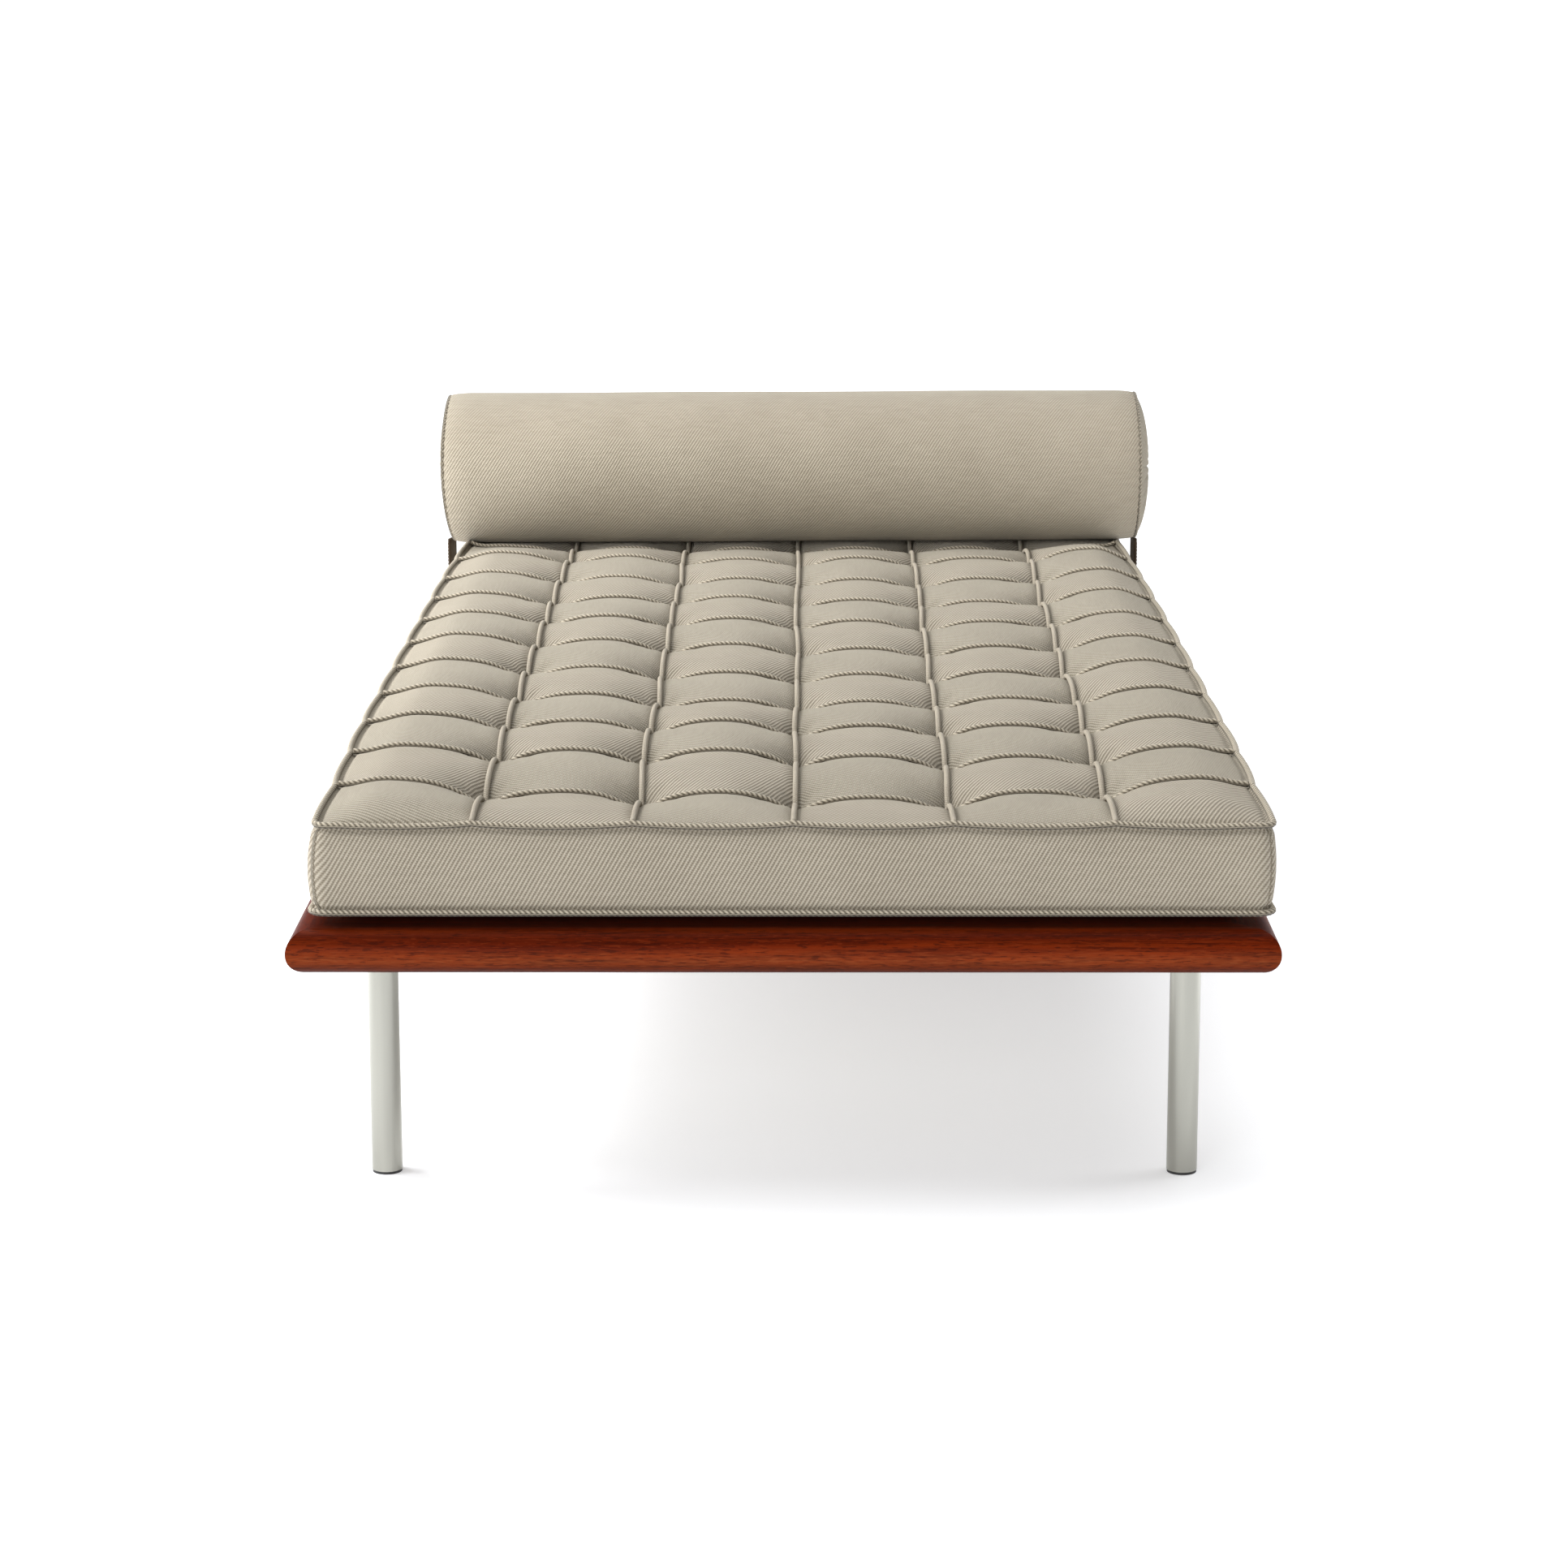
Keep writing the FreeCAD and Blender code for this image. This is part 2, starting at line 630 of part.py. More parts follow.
# The foam narrows to a neck beside the two edge welts.
RIM_X = f"({CLOTH_X} - Sizes.WeltRadius - Sizes.ClothGap)"
RIM_Y = f"({CLOTH_Y} - Sizes.WeltRadius - Sizes.ClothGap)"
NECK_X = f"({RIM_X} - Sizes.ClothThickness - Sizes.NeckGap)"
NECK_Y = f"({RIM_Y} - Sizes.ClothThickness - Sizes.NeckGap)"
PIT_FLOOR = f"({CORE_TOP} - Sizes.PitDepth)"


def first_tuft(pitch, count):
    return f"-({pitch} * ({count} - 1) / 2)"


FIRST_X = first_tuft(COLUMN_PITCH, GROUP_COLUMNS)
FIRST_Y = first_tuft(ROW_PITCH, GROUP_ROWS)


def tuft_holes(body, radius, top, depth):
    """Bore the tufting grid downward from one height."""
    sketch = new_sketch(body, "XY_Plane", top)
    circle(sketch, FIRST_X, FIRST_Y, radius)
    cut = pocket(body, sketch, depth)
    before = body.Shape.Volume
    grid_pattern(body, cut, GROUP_COLUMNS, GROUP_ROWS)
    if body.Shape.Volume >= before:
        raise ValueError(f"{body.Label} grid removed nothing")


def frustum(body, half_x, half_y, low, high, run):
    """A block whose footprint is smaller at the bottom by one run on each side."""
    lower = new_sketch(body, "XY_Plane", low)
    rounded_loop(lower, f"({half_x} - {run})", f"({half_y} - {run})",
                 "Sizes.MattressCornerRadius")
    upper = new_sketch(body, "XY_Plane", high)
    rounded_loop(upper, half_x, half_y, "Sizes.MattressCornerRadius")
    loft = body.newObject("PartDesign::AdditiveLoft", f"{body.Label}_loft")
    loft.Profile = lower
    loft.Sections = [upper]
    loft.Ruled = True
    doc.recompute()
    return loft


core = new_body("mattress_foam_core")
frustum(core, NECK_X, NECK_Y, CORE_BOTTOM, f"{EDGE_BOTTOM} + Sizes.ClothThickness",
        "(Sizes.EdgeLiftRun + Sizes.ClothThickness)")
for half_x, half_y, low, high in (
    (NECK_X, NECK_Y, f"({EDGE_BOTTOM} + Sizes.ClothThickness)", BOXING_LOW),
    (CORE_X, CORE_Y, BOXING_LOW, BOXING_HIGH),
    (NECK_X, NECK_Y, BOXING_HIGH, CORE_TOP),
):
    slab = new_sketch(core, "XY_Plane", low)
    rounded_loop(slab, half_x, half_y, "Sizes.MattressCornerRadius - Sizes.ClothThickness")
    pad(core, slab, f"{high} - {low}")
tuft_holes(core, "Sizes.PitRadius", CORE_TOP, "Sizes.PitDepth")
tuft_holes(core, "Sizes.TuftBoreRadius", PIT_FLOOR, f"{PIT_FLOOR} - {CORE_BOTTOM}")
tuft_holes(core, "Sizes.AnchorPocketRadius",
           f"{CORE_BOTTOM} + Sizes.AnchorPocketDepth", "Sizes.AnchorPocketDepth + Sizes.CutOverrun")
finish_mattress(core)

top_cover = new_body("mattress_top_cover")
top_outline = new_sketch(top_cover, "XY_Plane", MATTRESS_TOP)
rounded_loop(top_outline, RIM_X, RIM_Y, "Sizes.MattressCornerRadius")
pad(top_cover, top_outline, "Sizes.ClothThickness", reverse=True)
tuft_holes(top_cover, "Sizes.PitRadius", MATTRESS_TOP, "Sizes.ClothThickness + Sizes.CutOverrun")
finish_mattress(top_cover)

boxing = new_body("mattress_boxing")
boxing_outline = new_sketch(boxing, "XY_Plane", BOXING_LOW)
rounded_loop(boxing_outline, CLOTH_X, CLOTH_Y, "Sizes.MattressCornerRadius")
rounded_loop(boxing_outline, f"({CORE_X} + Sizes.ClothGap)", f"({CORE_Y} + Sizes.ClothGap)",
             "Sizes.MattressCornerRadius - Sizes.ClothThickness")
pad(boxing, boxing_outline, f"{BOXING_HIGH} - {BOXING_LOW}")
finish_mattress(boxing)

bottom_cover = new_body("mattress_bottom_cover")
frustum(bottom_cover, RIM_X, RIM_Y, MATTRESS_BOTTOM, EDGE_BOTTOM, "Sizes.EdgeLiftRun")
hollow_low = new_sketch(bottom_cover, "XY_Plane", f"{MATTRESS_BOTTOM} + Sizes.ClothThickness")
HOLLOW_RUN = "(Sizes.EdgeLiftRun + 2 * Sizes.ClothThickness)"
rounded_loop(hollow_low, f"({RIM_X} - {HOLLOW_RUN})", f"({RIM_Y} - {HOLLOW_RUN})",
             "Sizes.MattressCornerRadius")
hollow_high = new_sketch(bottom_cover, "XY_Plane", f"{EDGE_BOTTOM} + Sizes.ClothThickness")
rounded_loop(hollow_high, f"({RIM_X} - Sizes.ClothThickness)", f"({RIM_Y} - Sizes.ClothThickness)",
             "Sizes.MattressCornerRadius")
hollow = bottom_cover.newObject("PartDesign::SubtractiveLoft", "bottom_cover_hollow")
hollow.Profile = hollow_low
hollow.Sections = [hollow_high]
hollow.Ruled = True
doc.recompute()
finish_mattress(bottom_cover)


def perimeter_welt(label, height):
    body = new_body(label)
    path = new_sketch(body, "XY_Plane", height)
    rounded_loop(path, CLOTH_X, CLOTH_Y, "Sizes.MattressCornerRadius")
    section = new_sketch(body, "XZ_Plane")
    circle(section, CLOTH_X, height, "Sizes.WeltRadius")
    sweep = body.newObject("PartDesign::AdditivePipe", f"{label}_sweep")
    sweep.Profile = section
    sweep.Spine = path
    doc.recompute()
    finish_mattress(body)


perimeter_welt("mattress_top_welt", HIGH_WELT_Z)
perimeter_welt("mattress_bottom_welt", LOW_WELT_Z)

GRID_WELT_Z = f"({MATTRESS_TOP} + Sizes.GridWeltRadius + Sizes.ClothGap)"
WELT_END = "(Sizes.PitRadius + Sizes.ClothGap)"
EDGE_STOP_X = f"({CLOTH_X} - Sizes.WeltRadius - 2 * Sizes.ClothGap)"
EDGE_STOP_Y = f"({CLOTH_Y} - Sizes.WeltRadius - 2 * Sizes.ClothGap)"


def welt_runs(label, axis, run_pitch, run_count, reach, line_pitch, line_count):
    """The welts of one direction, each run stopping short of the button pits."""
    runs = []
    for line in range(1, line_count):
        across = f"{line_pitch} * ({line} - {line_count} / 2)"
        for index in range(run_count):
            low = f"({run_pitch} * ({index} - {run_count} / 2) + {WELT_END})"
            high = f"({run_pitch} * ({index} + 1 - {run_count} / 2) - {WELT_END})"
            if index == 0:
                low = f"(-{reach})"
            if index == run_count - 1:
                high = f"({reach})"
            spot = (low, across) if axis == "X" else (across, low)
            runs.append(rod("welt_run", "Sizes.GridWeltRadius", f"{high} - {low}",
                            spot[0], spot[1], GRID_WELT_Z, axis))
    finish_mattress(group(label, runs))


welt_runs("transverse_welts", "X", COLUMN_PITCH, GROUP_COLUMNS + 1, EDGE_STOP_X,
          ROW_PITCH, GROUP_ROWS + 1)
welt_runs("lengthwise_welts", "Y", ROW_PITCH, GROUP_ROWS + 1, EDGE_STOP_Y,
          COLUMN_PITCH, GROUP_COLUMNS + 1)

buttons = []
cords = []
anchors = []
for column in range(GROUP_COLUMNS):
    for row in range(GROUP_ROWS):
        tuft_x = f"{FIRST_X} + {COLUMN_PITCH} * {column}"
        tuft_y = f"{FIRST_Y} + {ROW_PITCH} * {row}"
        button = doc.addObject("Part::Ellipsoid", "tuft_button")
        button.setExpression("Radius1", "Sizes.ButtonHalfHeight")
        button.setExpression("Radius2", "Sizes.ButtonRadius")
        place(button, tuft_x, tuft_y, f"{PIT_FLOOR} + Sizes.ButtonHalfHeight + Sizes.ClothGap")
        buttons.append(button)
        anchor_low = f"({CORE_BOTTOM} + Sizes.ClothGap)"
        cord_low = f"({anchor_low} + Sizes.AnchorHeight + Sizes.ClothGap)"
        cords.append(rod("tuft_cord", "Sizes.TuftCordRadius", f"{PIT_FLOOR} - {cord_low}",
                         tuft_x, tuft_y, cord_low))
        anchors.append(rod("tuft_anchor", "Sizes.AnchorRadius", "Sizes.AnchorHeight",
                           tuft_x, tuft_y, anchor_low))
finish_mattress(group("tufting_buttons", buttons))
finish_mattress(group("tufting_cords", cords))
finish_mattress(group("tufting_anchors", anchors))

# ---------------------------------------------------------------- bolster


def lay_along_x(thing):
    """Turn a part made about its own Z axis so that it lies along the bolster."""
    thing.Placement = FreeCAD.Placement(Vector(), FreeCAD.Rotation(Vector(0, 1, 0), 90))
    place(thing, "0", "Sizes.BolsterAxisY", BOLSTER_Z)


CORE_RADIUS = "(Sizes.BolsterRadius - Sizes.ClothThickness - Sizes.ClothGap)"
COVER_END = "(Sizes.BolsterHalfLength - Sizes.BolsterWeltRadius - Sizes.ClothGap)"
DOME_CORE = "(Sizes.BolsterDome - Sizes.ClothThickness - Sizes.ClothGap)"
DOME_START = "Sizes.BolsterHalfLength"
DISC_RADIUS = "(Sizes.BolsterRadius - Sizes.BolsterWeltRadius - Sizes.ClothGap)"
BUTTON_SEAT = "(Sizes.EndButtonRadius + Sizes.SlipFit)"


bolster_core = new_body("bolster_foam_core")
core_section = new_sketch(bolster_core, "XZ_Plane")
CORE_SHOULDER = f"({DISC_RADIUS} - Sizes.ClothThickness - Sizes.ClothGap)"
CORE_DOME_Z = f"({DOME_START} + {DOME_CORE} - Sizes.EndButtonRecess)"
CORE_DOME_RADIUS = f"({DISC_RADIUS} * Sizes.DomeCrestShare)"
polygon(core_section, [
    ("0", f"-{CORE_DOME_Z}"),
    (CORE_DOME_RADIUS, f"-{CORE_DOME_Z}"),
    (CORE_SHOULDER, f"-{COVER_END}"),
    (CORE_RADIUS, f"-{COVER_END}"),
    (CORE_RADIUS, COVER_END),
    (CORE_SHOULDER, COVER_END),
    (CORE_DOME_RADIUS, CORE_DOME_Z),
    ("0", CORE_DOME_Z),
])
revolve(bolster_core, core_section)
lay_along_x(bolster_core)
finish(bolster_core)

bolster_cover = new_body("bolster_cover")
cover_section = new_sketch(bolster_cover, "XZ_Plane")
rectangle(cover_section, f"{CORE_RADIUS} + Sizes.ClothGap", "Sizes.BolsterRadius",
          f"-{COVER_END}", COVER_END)
revolve(bolster_cover, cover_section)
lay_along_x(bolster_cover)
finish(bolster_cover)

for side_name, side_sign in SIDES.items():
    panel = new_body(f"bolster_end_{side_name}")
    section = new_sketch(panel, "XZ_Plane")
    inner_top = f"({CORE_DOME_Z} + Sizes.ClothGap)"
    outer_top = f"({inner_top} + Sizes.ClothThickness)"
    polygon(section, [
        ("Sizes.SnapShankRadius", f"{side_sign} * {inner_top}"),
        (f"{CORE_DOME_RADIUS} + Sizes.ClothGap", f"{side_sign} * {inner_top}"),
        (f"{CORE_SHOULDER} + Sizes.ClothGap", f"{side_sign} * ({COVER_END} + Sizes.ClothGap)"),
        (DISC_RADIUS, f"{side_sign} * ({COVER_END} + Sizes.ClothGap)"),
        (DISC_RADIUS, f"{side_sign} * ({DOME_START})"),
        (f"{CORE_DOME_RADIUS} + Sizes.ClothThickness", f"{side_sign} * {outer_top}"),
        ("Sizes.SnapShankRadius", f"{side_sign} * {outer_top}"),
    ])
    revolve(panel, section)
    lay_along_x(panel)
    finish(panel)

    welt = doc.addObject("Part::Torus", f"bolster_welt_{side_name}")
    welt.Label = f"bolster_welt_{side_name}"
    welt.setExpression("Radius1", "Sizes.BolsterRadius")
    welt.setExpression("Radius2", "Sizes.BolsterWeltRadius")
    lay_along_x(welt)
    place(welt, f"{side_sign} * Sizes.BolsterHalfLength", "Sizes.BolsterAxisY", BOLSTER_Z)
    finish(welt)

    end_button = new_body(f"bolster_button_{side_name}")
    section = new_sketch(end_button, "XZ_Plane")
    seat = f"({outer_top} + Sizes.ClothGap)"
    polygon(section, [
        ("0", f"{side_sign} * {seat}"),
        ("Sizes.EndButtonRadius", f"{side_sign} * {seat}"),
        ("Sizes.EndButtonRadius", f"{side_sign} * ({seat} + Sizes.EndButtonEdge)"),
        ("Sizes.EndButtonCrownRadius", f"{side_sign} * ({seat} + Sizes.EndButtonCrownHeight)"),
        ("0", f"{side_sign} * ({seat} + Sizes.EndButtonHeight)"),
    ])
    revolve(end_button, section)
    lay_along_x(end_button)
    finish(end_button)

# ---------------------------------------------------------------- leather straps

STRAP_OUTSIDE = "Sizes.StrapRailGap + Sizes.StrapThickness"
SNAP_SEAT = f"{STRAP_OUTSIDE} + Sizes.SlipFit"
SNAP_FACE = f"{STRAP_OUTSIDE} + Sizes.SnapCapHeight"
SNAP_POST_TOP = f"{STRAP_OUTSIDE} - Sizes.SnapPostGap"

for side_name, side_sign in SIDES.items():
    face_in = f"({HALF_W} + Sizes.StrapRailGap)"
    face_out = f"({face_in} + Sizes.StrapThickness)"

    strap = new_body(f"bolster_strap_{side_name}")
    shape = new_sketch(strap, "YZ_Plane", f"{side_sign} * {face_in}")
    half = "(Sizes.StrapWidth / 2)"
    low = f"({SNAP_Z} - Sizes.StrapEndRadius)"
    rectangle(shape, f"Sizes.BolsterAxisY - {half}", f"Sizes.BolsterAxisY + {half}",
              low, STRAP_TOP)
    pad(strap, shape, "Sizes.StrapThickness", reverse=side_sign < 0)
    roll = new_sketch(strap, "XZ_Plane")
    circle(roll, f"{side_sign} * ({face_in} + Sizes.StrapThickness / 2)", STRAP_TOP,
           "Sizes.StrapThickness / 2")
    roll.setExpression("AttachmentOffset.Base.z", "-Sizes.BolsterAxisY")
    pad(strap, roll, "Sizes.StrapWidth", midplane=True)
    tip_limit = size(low) + SIZES["CutOverrun"]
    round_edges(strap, "Sizes.StrapEndRadius - Sizes.StrapTipFlat",
                lambda e: runs_along(e, Vector(1, 0, 0)) and e.CenterOfMass.z < tip_limit)
    hole = new_sketch(strap, "YZ_Plane", f"{side_sign} * {face_out}")
    circle(hole, "Sizes.BolsterAxisY", SNAP_Z, "Sizes.SnapHoleRadius")
    pocket(strap, hole, "Sizes.StrapThickness + Sizes.CutOverrun", reverse=side_sign < 0)
    finish(strap)

    cap = new_body(f"snap_cap_{side_name}")
    section = new_sketch(cap, "XZ_Plane")
    polygon(section, [
        ("Sizes.SnapSleeveRadius", "Sizes.StrapRailGap"),
        ("Sizes.SnapHoleRadius - Sizes.SlipFit", "Sizes.StrapRailGap"),
        ("Sizes.SnapHoleRadius - Sizes.SlipFit", SNAP_SEAT),
        ("Sizes.SnapCapRadius", SNAP_SEAT),
        ("Sizes.SnapCapRadius - Sizes.SnapCapBevel", SNAP_FACE),
        ("0", SNAP_FACE),
        ("0", SNAP_SEAT),
        ("Sizes.SnapSleeveRadius", SNAP_SEAT),
    ])
    revolve(cap, section)
    cap.Placement = FreeCAD.Placement(Vector(), FreeCAD.Rotation(Vector(0, 1, 0), side_sign * 90))
    place(cap, f"{side_sign} * {HALF_W}", "Sizes.BolsterAxisY", SNAP_Z)
    finish(cap)

    stud = new_body(f"snap_stud_{side_name}")
    section = new_sketch(stud, "XZ_Plane")
    polygon(section, [
        ("0", "-(Sizes.SnapFlangeHeight + Sizes.SnapShankLength)"),
        ("Sizes.SnapShankRadius", "-(Sizes.SnapFlangeHeight + Sizes.SnapShankLength)"),
        ("Sizes.SnapShankRadius", "-Sizes.SnapFlangeHeight"),
        ("Sizes.SnapFlangeRadius", "-Sizes.SnapFlangeHeight"),
        ("Sizes.SnapFlangeRadius", "-Sizes.SnapFlangeSink"),
        ("Sizes.SnapPostRadius", "-Sizes.SnapFlangeSink"),
        ("Sizes.SnapPostRadius", SNAP_POST_TOP),
        ("0", SNAP_POST_TOP),
    ])
    revolve(stud, section)
    stud.Placement = FreeCAD.Placement(Vector(), FreeCAD.Rotation(Vector(0, 1, 0), side_sign * 90))
    place(stud, f"{side_sign} * {HALF_W}", "Sizes.BolsterAxisY", SNAP_Z)
    finish(stud)

# ---------------------------------------------------------------- checks and export

doc.recompute()
for thing in doc.Objects:
    if "Invalid" in thing.State or "Error" in thing.State:
        raise ValueError(f"{thing.Name} is {thing.State}")
for node in nodes:
    if node.Shape.isNull() or not node.Shape.isValid():
        raise ValueError(f"{node.Label} has no valid shape")
for node in nodes:
    node.Shape.exportStep(f"parts/{node.Label}.step")
    box = node.Shape.BoundBox
    print(f"{node.Label}: {len(node.Shape.Solids)} solids, "
          f"x {box.XMin:.1f}..{box.XMax:.1f} y {box.YMin:.1f}..{box.YMax:.1f} "
          f"z {box.ZMin:.1f}..{box.ZMax:.1f}")
print(f"{len(nodes)} parts")
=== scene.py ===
import math

import bmesh
import bpy
import numpy as np
from mathutils import Matrix, Vector
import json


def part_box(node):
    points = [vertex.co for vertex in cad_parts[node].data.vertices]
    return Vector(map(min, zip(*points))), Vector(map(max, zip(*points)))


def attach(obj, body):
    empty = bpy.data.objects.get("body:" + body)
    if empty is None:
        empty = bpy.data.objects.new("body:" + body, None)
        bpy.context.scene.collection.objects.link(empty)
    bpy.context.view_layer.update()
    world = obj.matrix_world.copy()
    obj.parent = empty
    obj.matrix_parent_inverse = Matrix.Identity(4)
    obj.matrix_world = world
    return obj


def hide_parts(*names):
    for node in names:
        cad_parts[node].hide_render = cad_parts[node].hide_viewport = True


# The daybed's looks, in the frame of its CAD part: metres, +X across, +Y to the head, floor at z = 0.

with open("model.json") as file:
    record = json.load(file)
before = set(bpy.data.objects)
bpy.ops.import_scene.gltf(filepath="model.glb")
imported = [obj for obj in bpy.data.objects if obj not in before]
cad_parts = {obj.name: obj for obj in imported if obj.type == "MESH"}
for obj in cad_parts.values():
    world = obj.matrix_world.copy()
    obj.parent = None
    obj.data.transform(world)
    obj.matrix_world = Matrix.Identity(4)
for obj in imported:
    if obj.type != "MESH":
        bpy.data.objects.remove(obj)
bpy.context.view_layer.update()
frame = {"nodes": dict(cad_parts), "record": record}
NODES = frame["nodes"]
TAU = 2 * math.pi


def span(node):
    """The lowest and highest corner of a CAD node, as arrays."""
    low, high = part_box(node)
    return np.array(low), np.array(high)


# ------------ mesh helpers


ROPE_LAY = 0.0165
ROPE_R = 0.0032
STRANDS = 3


def add_object(name, data):
    """A new object in the scene for a mesh, a light or a camera."""
    obj = bpy.data.objects.new(name, data)
    bpy.context.scene.collection.objects.link(obj)
    return obj


def add_mesh(name, verts, faces, uvs, material, corner_uvs=(), nap_sheens=(), pit_shades=()):
    """A smooth mesh object from arrays; uvs holds one (u, v) per vertex, in metres of cloth.
    corner_uvs replaces those of the first faces, one per face corner; nap_sheens holds one share of painted
    sheen shade per face and pit_shades one share of painted pit shade per vertex, for as many of the first
    ones as are given."""
    mesh = bpy.data.meshes.new(name)
    verts = np.asarray(verts, np.float32)
    counts = np.array([len(f) for f in faces], np.int32)
    loops = np.concatenate([np.asarray(f, np.int32) for f in faces])
    mesh.vertices.add(len(verts))
    mesh.vertices.foreach_set("co", verts.ravel())
    mesh.loops.add(len(loops))
    mesh.loops.foreach_set("vertex_index", loops)
    mesh.polygons.add(len(counts))
    mesh.polygons.foreach_set("loop_start", np.concatenate([[0], np.cumsum(counts)[:-1]]))
    mesh.polygons.foreach_set("loop_total", counts)
    mesh.update(calc_edges=True)
    mesh.shade_smooth()
    layer = mesh.uv_layers.new(name="cloth")
    spread = np.asarray(uvs, np.float32)[loops]
    if len(corner_uvs):
        spread[:len(corner_uvs)] = corner_uvs
    layer.data.foreach_set("uv", spread.ravel())
    shades = (("nap_sheen", "FACE", nap_sheens, len(counts)), ("pit_shade", "POINT", pit_shades, len(verts)))
    for key, domain, given, total in shades:
        values = np.zeros(total, np.float32)
        values[:len(given)] = given
        mesh.attributes.new(key, "FLOAT", domain).data.foreach_set("value", values)
    mesh.materials.append(material)
    return add_object(name, mesh)


def grid_faces(rows, cols, wrap=False):
    """Quads over a rows x cols lattice of vertices, closed round its columns if wrap."""
    last = cols if wrap else cols - 1
    r, c = np.meshgrid(np.arange(rows - 1), np.arange(last), indexing="ij")
    r, c = r.ravel(), c.ravel()
    n = (c + 1) % cols
    return np.stack([r * cols + c, r * cols + n, (r + 1) * cols + n, (r + 1) * cols + c], 1).tolist()


def capped_faces(rings, sides):
    """Quads round a stack of rings, with a cap at each end."""
    caps = [list(range(sides))[::-1], list(range((rings - 1) * sides, rings * sides))]
    return grid_faces(rings, sides, wrap=True) + caps


def smoothstep(t):
    """0 up to 0, 1 from 1 on, and a smooth rise between."""
    t = np.clip(t, 0, 1)
    return t * t * (3 - 2 * t)


def nearness(gap, reach):
    """1 at an edge, falling evenly to 0 at its reach."""
    return np.clip(1 - gap / reach, 0, 1)


def resample(line, count):
    """The same line as evenly spaced points."""
    steps = np.linalg.norm(np.diff(line, axis=0), axis=1)
    run = np.concatenate([[0], np.cumsum(steps)])
    at = np.linspace(0, run[-1], count)
    return np.stack([np.interp(at, run, line[:, k]) for k in range(line.shape[1])], 1)


def tube(line, radius, sides, closed=False, twist=0.0, up=(0, 0, 1)):
    """Vertices, faces and cloth coordinates of a cord; twist is how deep a rope's strands show."""
    line = np.asarray(line, float)
    count = len(line)
    if closed:
        tangent = np.roll(line, -1, 0) - np.roll(line, 1, 0)
    else:
        tangent = np.gradient(line, axis=0)
    tangent /= np.linalg.norm(tangent, axis=1)[:, None]
    up = np.broadcast_to(np.asarray(up, float), line.shape)
    side = np.cross(tangent, up)
    side /= np.linalg.norm(side, axis=1)[:, None]
    rise = np.cross(side, tangent)
    steps = np.linalg.norm(np.diff(line, axis=0), axis=1)
    run = np.concatenate([[0], np.cumsum(steps)])
    lay = ROPE_LAY
    if closed:
        total = run[-1] + np.linalg.norm(line[0] - line[-1])
        lay = total / round(total / lay)
    angle = np.linspace(0, TAU, sides, endpoint=False)[None, :]
    ring_radius = radius * (1 + twist * np.cos(STRANDS * (angle + TAU * run[:, None] / lay)))
    ring = (line[:, None, :] + ring_radius[..., None] * (np.cos(angle)[..., None] * side[:, None, :]
                                                        + np.sin(angle)[..., None] * rise[:, None, :]))
    verts = ring.reshape(-1, 3)
    if closed:
        faces = grid_faces(count + 1, sides, wrap=True)
        faces = [[v % (count * sides) for v in f] for f in faces]
    else:
        faces = capped_faces(count, sides)
    uvs = np.stack([np.broadcast_to(run[:, None] * (ROPE_LAY / lay), (count, sides)),
                    np.broadcast_to(angle * ROPE_R, (count, sides))], -1).reshape(-1, 2)
    return verts, faces, uvs


class Shape:
    """A mesh in the making, which builds up part by part or ring by ring."""

    def __init__(self):
        self.verts, self.faces, self.uvs, self.total = [], [], [], 0

    def add(self, verts, faces, uvs):
        """Add a part whose faces count its vertices from 0; gives the numbers that they get here."""
        self.verts.append(np.asarray(verts))
        self.uvs.append(np.asarray(uvs))
        self.faces.extend([[v + self.total for v in f] for f in faces])
        self.total += len(verts)
        return np.arange(self.total - len(verts), self.total)

    def grow(self, ring, verts, uvs):
        """Join a new ring to an earlier one; rings are passed as vertex numbers."""
        fresh = self.add(verts, (), uvs)
        self.faces.extend(np.stack([ring, fresh, np.roll(fresh, -1), np.roll(ring, -1)], 1).tolist())
        return fresh

    def close(self, ring, middle):
        """Join a ring to one point in its middle."""
        tip = np.repeat(self.add([middle], (), [(0, 0)]), len(ring))
        self.faces.extend(np.stack([ring, tip, np.roll(ring, -1)], 1).tolist())

    def build(self, name, material):
        return add_mesh(name, np.vstack(self.verts), self.faces, np.vstack(self.uvs), material)


def dome(radius, height, rings, sides):
    """A button: its points across, how far out each one stands, and its faces."""
    angle = np.linspace(0, TAU, sides, endpoint=False)
    phi = np.linspace(0, math.pi / 2, rings)[:, None]
    rho = radius * np.sin(phi + 0.001)
    across = np.stack([rho * np.cos(angle), rho * np.sin(angle)], -1).reshape(-1, 2)
    out = np.repeat(height * np.cos(phi) ** 0.8, sides)
    return across, out, capped_faces(rings, sides)


def hand_over(obj, body, *replaced, slot="upholstery_fabric"):
    """Point a piece's faces outward, hang it under its body's empty and hide the CAD nodes it replaces; slot
    is not used.
    """
    work = bmesh.new()
    work.from_mesh(obj.data)
    bmesh.ops.recalc_face_normals(work, faces=work.faces)
    work.to_mesh(obj.data)
    work.free()
    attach(obj, body)
    if replaced:
        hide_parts(*replaced)


# ------------ material helpers


